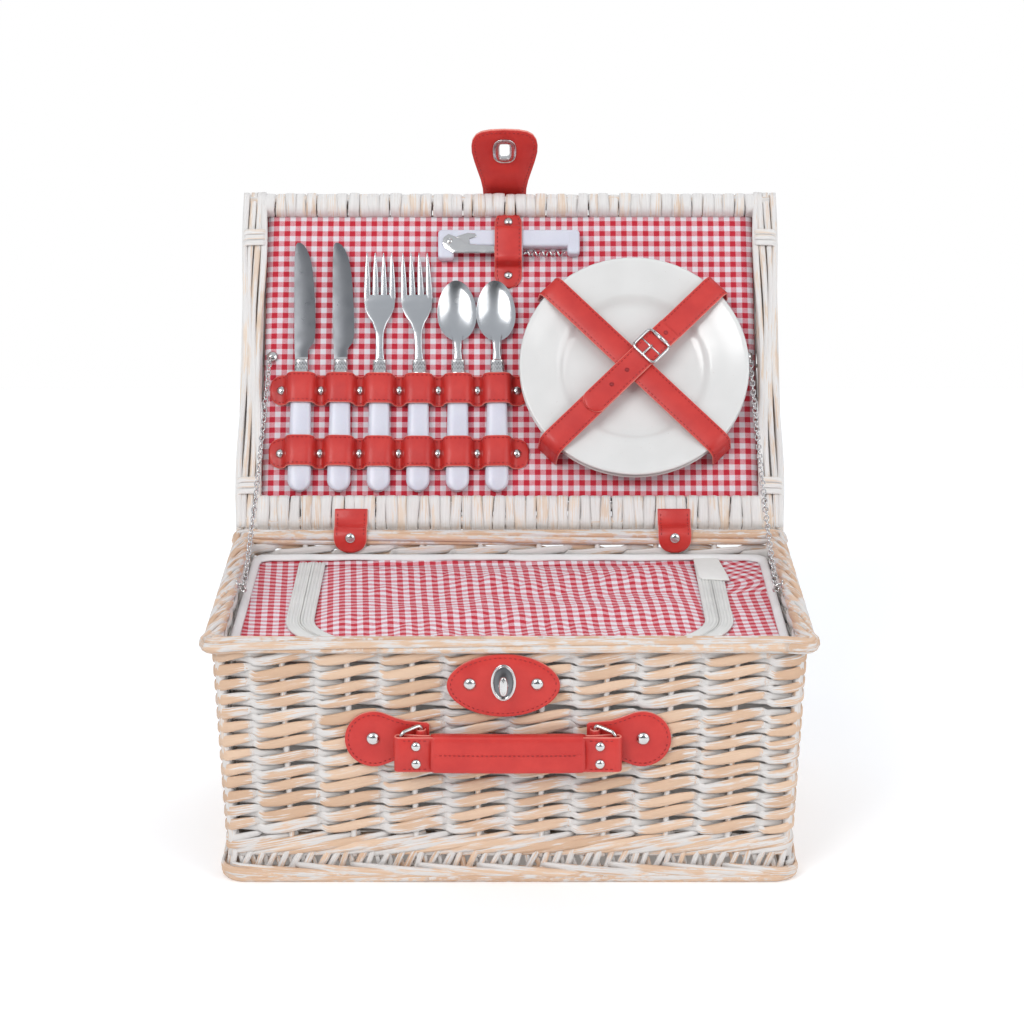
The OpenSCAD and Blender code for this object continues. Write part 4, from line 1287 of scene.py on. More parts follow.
def chain_link(bunch, centre, forward, side, length=6.4, width=4.4, wire=0.48):
    a = np.arange(14) * TAU / 14
    straight = (length - width) / 2
    along = (width / 2 - wire) * np.cos(a) + straight * np.sign(np.cos(a)) * np.abs(np.cos(a)) ** 0.3
    over = (width / 2 - wire) * np.sin(a)
    path = centre + np.outer(along, forward) + np.outer(over, side)
    sweep(bunch, path, np.cross(forward, side), wire, wire, ROUND, closed=True)


def chains():
    studs = {}
    stud_x = box("lid_rivets")[1][0] - 4
    for s in (-1, 1):
        links = Bunch()
        top = placed([(s * (stud_x + 1.6), 131.5, -3.5)], LID)[0]
        bottom = np.array([s * (RIM_X - RIM_WIDE - 4.6), 4, RIM_TOP - 5.5])
        t = np.linspace(0, 1, 60)
        path = top + np.outer(t, bottom - top)
        path[:, 2] -= 7 * np.sin(math.pi * t)
        length = np.linalg.norm(np.diff(path, axis=0), axis=1).sum()
        count = int(length / 4.5)
        centres = resample(path, length / count - 1e-6)
        for i, (a, b) in enumerate(zip(centres, centres[1:])):
            forward = unit(b - a)
            roll = math.radians(38 if i % 2 else -48) + rng.uniform(-0.25, 0.25)
            base = unit(np.cross(forward, (0.2, 0.3, 1)))
            other = np.cross(forward, base)
            chain_link(links, (a + b) / 2, forward, base * math.cos(roll) + other * math.sin(roll))
        name = "left" if s < 0 else "right"
        obj = make("chain_" + name, links, "chrome", replaces=("lid_chains",) if s < 0 else ())
        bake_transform(obj)
        studs[s] = bottom
    hooks = Bunch()
    for s in (-1, 1):
        b = studs[s]
        wall = s * (RIM_X - RIM_WIDE + 1.5)
        tube(hooks, rounded_path([(wall, b[1], b[2] + 1), (b[0] + s * 1.2, b[1], b[2] + 1),
                                  (b[0] - s * 1.5, b[1], b[2] - 3.5),
                                  (b[0] + s * 2.2, b[1], b[2] - 4.5), (b[0] + s * 3, b[1], b[2] - 1)],
                                  1.6), 0.9)
        revolve(hooks, [(0, 0), (3.4, 0), (3.4, 0.7), (2.4, 1.3), (0, 1.5)],
                Matrix.Translation(Vector((s * (RIM_X - RIM_WIDE + 0.8), b[1],
                                           b[2] + 1))) @ Matrix.Rotation(-s * math.pi / 2, 4, "Y"), 20)
    make("chain_eyes", hooks, "chrome", "basket", replaces=("chain_hooks",))


# ---------- lid fittings ----------

STRAP_W = 23.5
LOWER_V, UPPER_V = 47 + STRAP_W / 2, 96 + STRAP_W / 2


def cutlery_strap(name, v):
    """Leather that lies on the lining between handles and arches over each one."""
    leather_, thread = Bunch(), Bunch()
    flat, rise = LINING + 0.8, 9.75
    xn = [(CUTLERY_X0 - 23, flat)]
    for i in range(6):
        c = cutlery_x(i)
        xn += [(c - 11.4, flat), (c - 8.9, flat + rise), (c + 8.9, flat + rise), (c + 11.4, flat)]
    xn.append((cutlery_x(5) + 23.5, flat))
    xn = resample(rounded_path(xn, 4.6, 8), 1.3)
    slope = unit(np.gradient(xn, axis=0))
    path = np.column_stack([xn[:, 0], np.full(len(xn), v) + 0.5 * np.sin(xn[:, 0] / 37), xn[:, 1]])
    normal = np.column_stack([-slope[:, 1], np.zeros(len(xn)), slope[:, 0]])
    band(leather_, thread, placed(path, LID), directions(LID, normal), STRAP_W, 1.6, 2.0, ends=9)
    make(name + "_leather", leather_, "red_leather", "lid", replaces=(name,))
    make(name + "_thread", thread, "red_thread", "lid")


def lid_straps():
    cutlery_strap("cutlery_strap_lower", LOWER_V)
    cutlery_strap("cutlery_strap_upper", UPPER_V)
    leather_, thread = Bunch(), Bunch()
    x = -1.2
    vn = rounded_path([(189.5, LINING + 0.8), (206.5, LINING + 0.8), (209.0, 1.2), (235.6, 1.2),
                       (237, LINING + 0.8),
                       (251.5, LINING + 0.8)], 3.0, 7)
    vn = resample(vn, 1.2)
    slope = unit(np.gradient(vn, axis=0))
    path = placed(np.column_stack([np.full(len(vn), x), vn]), LID)
    normal = directions(LID, np.column_stack([np.zeros(len(vn)), -slope[:, 1], slope[:, 0]]))
    band(leather_, thread, path, normal, 20.5, 1.6, 2.0, ends=10)
    make("opener_strap_leather", leather_, "red_leather", "lid", replaces=("opener_strap",))
    make("opener_strap_thread", thread, "red_thread", "lid")
    rivets = Bunch()
    for i in range(7):
        for v in (LOWER_V, UPPER_V):
            rivet(rivets, at_lid(cutlery_x(i - 0.5), v, LINING + 1.7), 7.0, 2.8)
    for v in (199.5, 242.5):
        rivet(rivets, at_lid(x, v, LINING + 1.55), 6.6, 2.2)
    for s in (-1, 1):
        spot = at_lid(s * (box("lid_rivets")[1][0] - 4), 135, LINING)
        rivet(rivets, spot, 8.6, 3.0)
        tube(rivets, placed([(0, 0, 2.0), (s * 1.2, -2.5, 4.6), (s * 1.6, -5, 6.0), (s * 1.6, -6.5, 4.2),
                             (s * 0.8, -4, 2.2)], spot), 0.7)
    make("lid_rivet_heads", rivets, "chrome", "lid", replaces=("lid_rivets",))


PLATE_X, PLATE_V = 92, 122
PLATE_R = (box("plate_front")[1][0] - box("plate_front")[0][0]) / 2


def plate_profile():
    r = PLATE_R
    return [(0, 4.6), (0.40 * r, 4.6), (0.55 * r, 4.7), (0.60 * r, 5.2), (0.63 * r, 6.6),
            (0.655 * r, 8.2), (0.69 * r, 9.0),
            (0.78 * r, 9.9), (0.88 * r, 11.7), (0.96 * r, 13.4), (0.985 * r, 13.8), (r, 13.4),
            (0.995 * r, 12.6), (0.96 * r, 11.9),
            (0.84 * r, 8.6), (0.7 * r, 5.0), (0.6 * r, 3.1), (47.5, 2.6), (46.8, 0.3), (45, 0),
            (43.2, 0.3), (42.4, 2.2), (0, 2.3)]


def plates():
    for name, drop, level in (("plate_front", 0.0, 5.8), ("plate_back", 0.2, 0.0)):
        dish = Bunch()
        revolve(dish, plate_profile(), at_lid(PLATE_X, PLATE_V - drop, LINING + level), 112)
        make(name + "_dish", dish, "glazed_plate", "lid", replaces=(name,))


def plate_band(angle, level):
    """A band from lining to lining that folds over the rim of the stacked plates."""
    leather_, thread = Bunch(), Bunch()
    place = at_lid(PLATE_X, PLATE_V, 0, math.radians(angle))
    reach = 90
    sn = rounded_path([(-reach - 1.2, LINING + 0.4), (-reach + 0.8, level - 2.4),
                       (-reach + 5, level + 0.8), (0, level + 0.8),
                       (reach - 5, level + 0.8), (reach - 0.8, level - 2.4), (reach + 1.2, LINING + 0.4)],
                       5, 7)
    sn = resample(sn, 1.6)
    slope = unit(np.gradient(sn, axis=0))
    path = placed(np.column_stack([sn[:, 0], np.zeros(len(sn)), sn[:, 1]]), place)
    normal = directions(place, np.column_stack([-slope[:, 1], np.zeros(len(sn)), slope[:, 0]]))
    band(leather_, thread, path, normal, 19, 1.6, 1.9)
    return leather_, thread, place


def plate_straps():
    top = LINING + 14 + 5.8
    leather_, thread, _ = plate_band(-45, top)
    make("plain_strap_leather", leather_, "red_leather", "lid", replaces=("plate_strap_plain",))
    make("plain_strap_thread", thread, "red_thread", "lid")
    level = top + 1.8
    leather_, thread, place = plate_band(45, level)
    s = np.linspace(-49.5, 38, 60)
    n = level + 1.6 + 0.85 + 0.9 * np.exp(-((s - 17.7) / 9) ** 2)
    path = placed(np.column_stack([s, np.zeros(60), n]), place)
    normal = np.tile(directions(place, [(0, 0, 1)]), (60, 1))
    bite = np.clip((-s - 41.5) / 8, 0, 1)
    half = 9.5 * np.sqrt(1 - bite ** 2 * 0.985)
    sweep(leather_, path, normal, half, 0.8, BAND, edge=1.0)
    for side in (-1, 1):
        line = np.column_stack([s, side * (half - 1.9), n + 0.8])[6:]
        stitches(thread, placed(line, place), directions(place, [(0, 0, 1)])[0])
    for hole in (-24, -8, 33):
        spot = place @ Matrix.Translation(Vector((hole, 0, np.interp(hole, s, n) + 0.45)))
        revolve(thread, [(0, 0), (1.7, 0), (1.7, 0.5), (0.0, 0.5)], spot, 16)
    make("buckled_strap_leather", leather_, "red_leather", "lid", replaces=("plate_strap_buckled",))
    make("buckled_strap_thread", thread, "red_thread", "lid")
    frame_, c = Bunch(), 17.7
    zf = level + 1.6 + 2.6
    corners = [(c + 9.3, 0), (c + 9.3, 10.4), (c - 9.3, 10.4), (c - 9.3, -10.4), (c + 9.3, -10.4),
               (c + 9.3, 0)]
    loop = rounded_path([(a, b, zf + 0.5 * (abs(b) > 5)) for a, b in corners], 3.2, 6)[:-1]
    tube(frame_, placed(loop, place), 1.15, closed=True, sides=10)
    tube(frame_, placed([(c + 9.3, -6.5, zf), (c + 9.3, 6.5, zf)], place), 1.75, sides=14)
    tube(frame_, placed([(c - 0.4, -9.8, zf - 0.6), (c - 0.4, 9.8, zf - 0.6)], place), 0.95, sides=8)
    tube(frame_, placed([(c + 0.5, 0, zf + 1.3), (c - 3, 0, zf + 1.5), (c - 8.6, 0, zf + 1.2),
                         (c - 10.8, 0, zf + 0.6)], place), 0.9, sides=8)
    make("buckle_wire", frame_, "chrome", "lid", replaces=("strap_buckle",))


# ---------- cutlery ----------

STEEL_N = LINING + 4.5
HEAD_LEAN = (-1.2, -1.6, -1.2, -3.4, -2.0, -2.0)


def cutlery_handle(name, i):
    handle_ = Bunch()
    v = np.concatenate([29 + 8.5 * (1 - np.cos(np.linspace(0, math.pi / 2, 9))), np.linspace(39, 116, 14),
                        [118, 119.4, 120.2]])
    half = 8.7 - 1.5 * (v - 37) / 83
    half = np.where(v < 37.5, np.sqrt(np.clip(8.7 ** 2 - (37.7 - v) ** 2, 0.3, None)), half)
    half[-3:] -= [0.1, 0.4, 1.1]
    thick = 4.3 * np.minimum(1, 0.62 + 0.38 * np.clip((v - 29) / 9, 0, 1) ** 0.5)
    thick[-3:] -= [0.05, 0.3, 0.9]
    path = placed(np.column_stack([np.full(len(v), cutlery_x(i)), v, np.full(len(v), LINING + 4.5)]), LID)
    sweep(handle_, path, directions(LID, [(0, 0, 1)])[0], half, thick, oval_section(20, 0.62))
    make(name + "_handle_grip", handle_, "ivory_plastic", name, replaces=(name + "_handle",))


def lean(i, v):
    """How far a steel head has swung sideways in its sleeve by height v."""
    return HEAD_LEAN[i] * (np.asarray(v) - 130) / 80


def upward(i, rows):
    """Sweep input for steel that runs up the lid: rows of (v, x, n, half width, half thickness)."""
    rows = np.array(rows, float)
    fine = np.linspace(0, len(rows) - 1, (len(rows) - 1) * 4 + 1)
    rows = np.stack([np.interp(fine, np.arange(len(rows)), rows[:, k]) for k in range(5)], 1)
    x = cutlery_x(i) + rows[:, 1] + lean(i, rows[:, 0])
    path = placed(np.column_stack([x, rows[:, 0], STEEL_N + rows[:, 2]]), LID)
    return path, rows[:, 3], rows[:, 4]


def ferrule(bunch, marks, i, neck):
    """Steel collar on the handle, with two rows of zigzag cut into its face."""
    rows = [(119.2, 0, 0, 6.0, 4.0), (120.4, 0, 0, 6.1, 4.1), (121.4, 0, 0, 5.5, 3.6),
            (129.4, 0, 0, 5.1, 3.0),
            (130.2, 0, 0, 5.3, 3.0), (131.2, 0, 0, neck, 1.6), (133, 0, 0, neck, 1.1)]
    path, w, t = upward(i, rows)
    up = directions(LID, [(0, 0, 1)])[0]
    sweep(bunch, path, up, w, t, oval_section(16, 0.7))
    for v0 in (122.6, 126.0):
        x = np.linspace(-4.2, 4.2, 9)
        v = v0 + 2.4 * (np.arange(9) % 2)
        n = 3.55 - 0.055 * (v - 121.4) - 0.045 * x ** 2
        sweep(marks, placed(np.column_stack([cutlery_x(i) + x, v, STEEL_N + n]), LID), up, 0.42, 0.3, ROUND)


def knife_blade(bunch, i):
    """Straight back on the left, cutting edge on the right curving up to the tip."""
    rows = [(130, -4.8, 4.6), (138.5, -5.2, 4.9), (141, -5.3, 6.2), (145, -5.4, 9.0), (150, -5.5, 10.0),
            (158, -5.6, 10.3),
            (172, -5.7, 10.1), (188, -5.7, 9.3), (200, -5.7, 8.3), (208, -5.6, 7.1), (214, -5.4, 5.6),
            (219, -5.1, 3.6),
            (222.4, -4.5, 1.4), (224.2, -3.4, -0.8)]
    rows = np.array(rows)
    fine = np.linspace(0, len(rows) - 1, 53)
    v, left, right = (np.interp(fine, np.arange(len(rows)), rows[:, k]) for k in range(3))
    rings = []
    for a, l, r in zip(v, left, right):
        bevel = l + (r - l) * 0.72
        ring = [(l, 0.75), (l + 0.6, 0.95), (bevel, 0.8), (r, 0.12), (r, -0.12), (bevel, -0.8),
                (l + 0.6, -0.95), (l, -0.75)]
        rings.append([(cutlery_x(i) + lean(i, a) + x, a, STEEL_N + n) for x, n in ring])
    rings = np.array(rings)
    loft(bunch, placed(rings.reshape(-1, 3), LID).reshape(rings.shape), along=rings[:, :, 1],
         across=rings[:, :, 0] - cutlery_x(i))


def fork_head(bunch, i):
    up = directions(LID, [(0, 0, 1)])[0]
    rows = [(130, 0, 0, 3.6, 1.3), (140, 0, 0.4, 2.9, 1.3), (152, 0, 0.9, 3.2, 1.2),
            (160, 0, 0.4, 5.4, 1.0), (166, 0, -0.4, 8.6, 0.9),
            (172, 0, -1.1, 11.0, 0.85), (178, 0, -1.5, 11.6, 0.8), (183, 0, -1.6, 11.5, 0.8)]
    path, w, t = upward(i, rows)
    sweep(bunch, path, up, w, t, oval_section(16, 0.6))
    for k in (-1.5, -0.5, 0.5, 1.5):
        x = k * 6.3
        rows = [(180, x, -1.6, 2.45, 0.75), (187, x, -1.5, 2.35, 0.8), (198, x * 0.99, -0.9, 2.0, 0.8),
                (207, x * 0.98, 0.2, 1.45, 0.75),
                (213, x * 0.97, 1.0, 0.85, 0.55), (216, x * 0.97, 1.35, 0.3, 0.3)]
        path, w, t = upward(i, rows)
        sweep(bunch, path, up, w, t, oval_section(12, 0.6))


def spoon_bowl(bunch, i):
    up = directions(LID, [(0, 0, 1)])[0]
    path, w, t = upward(i, [(130, 0, 0, 3.6, 1.3), (138, 0, 0.3, 2.9, 1.3), (146, 0, 0.4, 3.3, 1.1),
                            (151, 0, -0.6, 4.2, 0.9)])
    sweep(bunch, path, up, w, t, oval_section(16, 0.7))
    a = np.arange(48) * TAU / 48
    egg = 1 - 0.10 * np.sin(a)
    x, y = 14.6 * np.cos(a) * egg, 23.5 * np.sin(a)
    rings = []
    inside = [(1, reach) for reach in (0.02, 0.2, 0.4, 0.6, 0.78, 0.9, 0.965, 1.0)]
    outside = [(-1, reach) for reach in (0.985, 0.9, 0.78, 0.6, 0.4, 0.2, 0.02)]
    for side, reach in inside + outside:
        v = 169.5 + y * reach
        depth = 3.8 * (1 - reach ** 2.2) * (1 if side > 0 else 1.02)
        n = 0.06 * (v - 146) - depth + (0.25 if side > 0 and reach > 0.95 else 0) - (0.8 if side < 0 else 0)
        rings.append(np.column_stack([cutlery_x(i) + lean(i, v) + x * reach, v, STEEL_N + n]))
    rings = np.array(rings)
    loft(bunch, placed(rings.reshape(-1, 3), LID).reshape(rings.shape), along=rings[:, :, 1],
         across=rings[:, :, 0] - cutlery_x(i))


def cutlery():
    order = (("knife_left", "blade", knife_blade, 4.9), ("knife_right", "blade", knife_blade, 4.9),
             ("fork_left", "head", fork_head, 3.4), ("fork_right", "head", fork_head, 3.4),
             ("spoon_left", "bowl", spoon_bowl, 3.4), ("spoon_right", "bowl", spoon_bowl, 3.4))
    for i, (name, part, build, neck) in enumerate(order):
        cutlery_handle(name, i)
        steel, collar, marks = Bunch(), Bunch(), Bunch()
        ferrule(collar, marks, i, neck)
        build(steel, i)
        metal = "blade_steel" if part == "blade" else "cutlery_steel"
        make(f"{name}_{part}_steel", steel, metal, name, replaces=(f"{name}_{part}",), sharp=42)
        make(f"{name}_collar", collar, "chrome", name, sharp=42)
        make(f"{name}_collar_marks", marks, "blade_steel", name)


# ---------- corkscrew ----------

OPENER_V = 222


def rounded_block(w, d, r, centre=(0, 0), n=12):
    pts = []
    for sx, sy, a0 in ((1, 1, 0), (-1, 1, 90), (-1, -1, 180), (1, -1, 270)):
        for a in np.linspace(a0, a0 + 90, n):
            pts.append((centre[0] + sx * (w / 2 - r) + r * math.cos(math.radians(a)),
                        centre[1] + sy * (d / 2 - r) + r * math.sin(math.radians(a))))
    return np.array(pts)


def corkscrew():
    body = Bunch()
    place = at_lid(0, 0, LINING)
    slab(body, rounded_block(106, 13.2, 3, (-0.5, OPENER_V + 5)), 0.1, 9.2, place, soft=1.6)
    slab(body, rounded_block(12, 23, 3, (-48, OPENER_V + 0.1)), 0.3, 9.3, place, soft=1.6)
    slab(body, rounded_block(9.4, 18, 3, (47.8, OPENER_V + 1)), 0.3, 9.3, place, soft=1.6)
    for low, high in ((0.2, 1.7), (8.3, 9.7)):
        slab(body, rounded_block(9, 13, 3.5, (5, OPENER_V - 5)), low, high, place, soft=0.6)
    make("opener_body", body, "ivory_plastic", "lid", replaces=("opener_handle",))
    lever = Bunch()
    plate = [(-50.6, 222), (-49, 218), (-42.5, 214), (-8, 214), (-7.4, 221), (-25, 219.8), (-32, 222),
             (-38, 226), (-46, 229.6),
             (-50, 226.6)]
    claw = [(-40, 219.6), (-29.6, 220.6), (-30.6, 225.2), (-24.6, 227.4), (-26.2, 230), (-32, 230.4),
            (-40, 227.6)]
    for shape, high in ((plate, 10.3), (claw, 10.2)):
        shape = np.array(shape)
        slab(lever, at_angles(shape, shape.mean(0), 90), 9.0, high, place, soft=0.4)
    make("opener_lever_steel", lever, "chrome", "lid", replaces=("opener_lever",), sharp=40)
    pins = Bunch()
    for x, v, top in ((5, 215.5, 9.2), (-45.3, OPENER_V + 1.8, 10.2)):
        spot = place @ Matrix.Translation(Vector((x, v, 0)))
        revolve(pins, [(0, 0.2), (0.95, 0.2), (0.95, top), (2.2, top + 0.1), (2.1, top + 0.5),
                       (1.2, top + 0.8), (0, top + 0.9)], spot, 20)
    make("opener_pin_heads", pins, "chrome", "lid", replaces=("opener_pins",))
    worm = Bunch()
    centre = place @ Matrix.Translation(Vector((5, 215.5, 5)))
    revolve(worm, [(1.25, -2.8), (3, -2.8), (3, 2.8), (1.25, 2.8), (1.25, -2.8)], centre, 20)
    tube(worm, placed([(2.4, 0, 0), (6, 0, 0), (8.4, 1.0, 0.6)], centre), 1.0)
    t = np.linspace(0, 5.4, 150)
    r = 2.25 * np.clip((5.6 - t) / 1.1, 0.06, 1)
    helix = np.column_stack([7.4 + 5.6 * t, r * np.cos(TAU * t), r * np.sin(TAU * t)])
    tube(worm, placed(helix, centre), np.clip((5.5 - t) * 0.9, 0.15, 0.78), sides=7)
    make("worm_helix", worm, "chrome", "corkscrew_worm", replaces=("opener_worm",))


# ---------- cooler ----------

TOP_HIGH = box("cooler_top")[1]
COOLER_TOP = box("cooler_shell")[1][2]
ZIP_Z = box("zip_tape")[0][2]
ZIP_X = box("flap_zip_tape")[1][0] + 0.3
ZIP_FRONT = box("flap_zip_tape")[0][1] - 0.3
ZIP_BACK = box("flap_zip_tape")[1][1]
ZIP_R = 62


def zip_line(out=0.0, step=3.0):
    """Open line of the zip in plan, from back left round the front to back right."""
    x, f, r = ZIP_X + out, ZIP_FRONT - out, ZIP_R + out
    left = [(-x, ZIP_BACK)]
    arc1 = [(-x + r - r * math.cos(a), f + r - r * math.sin(a)) for a in np.linspace(0, math.pi / 2, 16)]
    arc2 = [(x - r + r * math.sin(a), f + r - r * math.cos(a)) for a in np.linspace(0, math.pi / 2, 16)]
    return resample(np.array(left + arc1 + arc2 + [(x, ZIP_BACK)]), step)


def checks(p):
    x, y = p[..., 0] - ZIP_X - 20, p[..., 1] - 85
    turn = np.radians(-3 - 30 * np.clip((x + 20) / 8, 0, 1) * np.clip((y + 45) / 25, 0, 1))
    return x * np.cos(turn) - y * np.sin(turn), x * np.sin(turn) + y * np.cos(turn)


def puff(x, y, seed, size):
    """Soft folds: long waves with narrow creases."""
    wave = wrinkle(x, y, seed, 1.0, 0.06)
    crease = wrinkle(x, y, seed + 1, 1.0, 0.13)
    return size * (0.7 * wave + 0.5 * np.abs(crease) - 0.3)


def cloth_rings(bunch, loops, thick, seed, size):
    """Cloth between two matched loops, with wrinkles that fade towards both."""
    inner, outer = loops
    rows = np.linspace(0, 1, 16)
    top = []
    for t in rows:
        p = inner + (outer - inner) * t
        hold = min(1.0, t * 5, (1 - t) * 5)
        z = p[:, 2] + hold * puff(p[:, 0], p[:, 1], seed, size)
        top.append(np.column_stack([p[:, :2], z]))
    top = np.array(top)
    under = top[::-1] - np.array([0, 0, thick])
    rings = np.concatenate([top, under, top[:1]])
    u, w = checks(rings)
    loft(bunch, rings, caps=False, along=w, across=u)


def rect_points(hx, hy, r, angles, centre):
    outline = rounded_block(2 * hx, 2 * hy, r)
    return at_angles(outline, centre, angles)


def cooler_top():
    n = 180
    centre = np.array([0.0, 5.0])
    outer = rect_points(TOP_HIGH[0] - 3, TOP_HIGH[1] - 3, 8, n, centre)
    u_shape = np.vstack([zip_line(8.6), [(-ZIP_X - 8.6, ZIP_BACK)]])
    inner = at_angles(u_shape, centre, n)
    loops = [np.column_stack([inner, np.full(n, ZIP_Z - 0.5)]),
             np.column_stack([outer, np.full(n, ZIP_Z + 1.0)])]
    cloth = Bunch()
    cloth_rings(cloth, loops, 1.0, 21, 1.0)
    obj = make("cooler_border", cloth, "gingham", "basket", replaces=("cooler_top",))
    hem, edge = Bunch(), []
    for reach, z in ((0.4, 3.4), (1.0, 4.6), (2.2, 4.8), (4.0, 4.0), (6.0, 2.4), (6.2, 1.2), (4.0, 1.3),
                     (1.0, 1.5), (0.4, 3.4)):
        p = rect_points(TOP_HIGH[0] + 1.2 - reach, TOP_HIGH[1] + 1.2 - reach, 9, n, centre)
        soft = 0.35 * wrinkle(p[:, 0], p[:, 1], 44, 1.0, 0.11) * min(1.0, reach / 5)
        edge.append(np.column_stack([p, ZIP_Z + z + soft]))
    loft(hem, np.array(edge), caps=False, along=np.tile(np.arange(n) * 6.5, (len(edge), 1)),
         across=np.repeat(np.arange(len(edge))[:, None] * 3.0, n, 1))
    make("cooler_hem", hem, "white_webbing", "basket")


def cooler_flap():
    n = 180
    centre = np.array([0.0, 5.0])
    u_shape = np.vstack([zip_line(-8.2), [(-ZIP_X + 8.2, ZIP_BACK)]])
    outer = at_angles(u_shape, centre, n)
    rings = []
    for t in np.concatenate([np.linspace(0.02, 0.9, 22), [0.94, 0.97, 0.99, 1.0]]):
        p = centre + (outer - centre) * t
        hold = min(1.0, (1 - t) * 6)
        z = ZIP_Z + 0.2 + hold * (1.8 + puff(p[:, 0], p[:, 1], 33, 2.0)) - 1.2 * max(0.0, t - 0.9) * 10
        rings.append(np.column_stack([p, z]))
    for t in (0.99, 0.6, 0.02):
        p = centre + (outer - centre) * t
        rings.append(np.column_stack([p, np.full(n, COOLER_TOP + 1.2)]))
    cloth = Bunch()
    rings = np.array(rings)
    u, w = checks(rings)
    loft(cloth, rings, along=w, across=u)
    obj = make("flap_pad", cloth, "gingham", "cooler_flap", replaces=("cooler_flap",))


TAPE = np.array([[-1, -1], [1, -1], [1, 0.3], [0.8, 0.6], [0.66, -0.2], [0.5, 0.9], [0.3, 1],
                 [0.14, -0.1], [0, 0.9], [-0.2, 1],
                 [-0.34, -0.1], [-0.5, 0.9], [-0.64, 0.9], [-0.76, 0.3], [-1, 0.2]])


def zip_tape(name, offset, width, body, node, lift=0.0):
    tape = Bunch()
    line = zip_line(offset)
    z = ZIP_Z + 0.8 + lift + 0.35 * wrinkle(line[:, 0], line[:, 1], 61, 1.0, 0.05)
    sweep(tape, np.column_stack([line, z]), (0, 0, 1), width / 2, 0.95, TAPE)
    if offset > 0:
        end = [(ZIP_X - 8, 64), (ZIP_X + 13.5, 60), (ZIP_X + 8, 117), (ZIP_X - 10, 117)]
        slab(tape, at_angles(np.array(end), np.mean(end, 0), 48), ZIP_Z + 1.9, ZIP_Z + 2.9, soft=0.3)
    obj = make(name, tape, "grey_tape", body, replaces=(node,))
    return obj


def zip_teeth(name, side, body):
    teeth = Bunch()
    line = zip_line(side * 0.9, 2.0)
    forward = unit(np.gradient(line, axis=0))
    for p, f in zip(line, forward):
        across = np.array([f[1], -f[0], 0])
        a = np.array([*p, ZIP_Z + 1.6]) - across * 0.75
        sweep(teeth, [a, a + across * 1.5], (0, 0, 1), 0.55, 0.5, ROUND[::2])
    make(name, teeth, "grey_tape", body)


def zip_fastener():
    zip_tape("zip_tape_fixed", 5.0, 9.2, "basket", "zip_tape")
    zip_tape("zip_tape_flap", -5.0, 9.0, "cooler_flap", "flap_zip_tape", 0.1)
    zip_teeth("zip_teeth_fixed", 1, "basket")
    zip_teeth("zip_teeth_flap", -1, "cooler_flap")
    low, high = box("zip_slider")
    slider = Bunch()
    mid = (low + high) / 2
    place = Matrix.Translation(Vector((mid[0], mid[1], low[2])))
    slab(slider, ellipse(13, 8, 40, 0.7), 0, 1.1, place, soft=0.4)
    slab(slider, ellipse(12, 7.4, 40, 0.8), 2.2, 3.4, place, soft=0.5, dome=0.2)
    slab(slider, ellipse(4, 6, 24, 0.8), 0.8, 2.6, place, soft=0.2)
    for s in (-1, 1):
        tube(slider, placed([(-3.6, s * 2.9, 3.0), (-1.6, s * 2.9, 4.7), (1.6, s * 2.9, 4.7),
                             (3.6, s * 2.9, 3.0)], place), 0.55)
    make("slider_body", slider, "chrome", "zip_slider", replaces=("zip_slider",))
    low, high = box("zip_pull")
    pull = Bunch()
    mid_y = (low[1] + high[1]) / 2
    outline = rounded_block(high[0] - low[0], 4.4, 1.9, ((low[0] + high[0]) / 2, mid_y))
    hole = at_angles(ellipse(2.6, 2.0, 48, 1, (20.5, mid_y)), np.array([20.5, mid_y]), 48)
    slab(pull, at_angles(outline, np.array([20.5, mid_y]), 48), low[2], high[2], soft=0.4, holes=hole)
    make("pull_tab", pull, "chrome", "zip_pull", replaces=("zip_pull",))


def tub(bunch, hx, hy, r, z0, z1, wall, bulge, seed):
    """A bag open at the top: outer skin, rim, inner skin and floor in one."""
    n = 96
    rings = []

    def ring(grow, z, wave):
        p = rect_points(hx + grow, hy + grow, max(r + grow, 2), n, np.array([0.0, 0.0]))
        soft = wave * wrinkle(p[:, 0] + z, p[:, 1] - z, seed, 1.0, 0.05)
        return np.column_stack([p * (1 + soft[:, None] / 200), np.full(n, z)])

    zs = np.linspace(z0 + 3, z1 - 2, 9)
    rings.append(ring(-30, z0, 0))
    rings.append(ring(-3, z0, 0))
    for z in zs:
        rings.append(ring(bulge * math.sin(math.pi * (z - z0) / (z1 - z0)) - bulge, z, 1))
    rings.append(ring(-bulge - 0.4, z1, 0))
    rings.append(ring(-wall, z1, 0))
    for z in zs[::-1]:
        rings.append(ring(bulge * math.sin(math.pi * (z - z0) / (z1 - z0)) - bulge - wall, z, 1))
    rings.append(ring(-wall - 4, z0 + wall, 0))
    rings.append(ring(-wall - 30, z0 + wall, 0))
    loft(bunch, np.array(rings), along=np.zeros((len(rings), n)), across=np.zeros((len(rings), n)))


def cooler_bag():
    low, high = box("cooler_shell")
    outer, inner = Bunch(), Bunch()
    tub(outer, high[0], high[1], 12, low[2], ZIP_Z - 0.6, 3.2, 1.0, 71)
    tub(inner, high[0] - 3.6, high[1] - 3.6, 10, low[2] + 3.4, high[2] - 0.2, 2.0, 1.2, 72)
    bag = make("cooler_bag", outer, "white_webbing", "basket", replaces=("cooler_shell",))
    lining_ = make("cooler_foil", inner, "foil", "basket")


lock()
hasp()
handle()
body_rivets()
hinge_straps()
chains()
lid_straps()
plates()
plate_straps()
cutlery()
corkscrew()
cooler_top()
cooler_flap()
zip_fastener()
cooler_bag()


# ---------- stage ----------

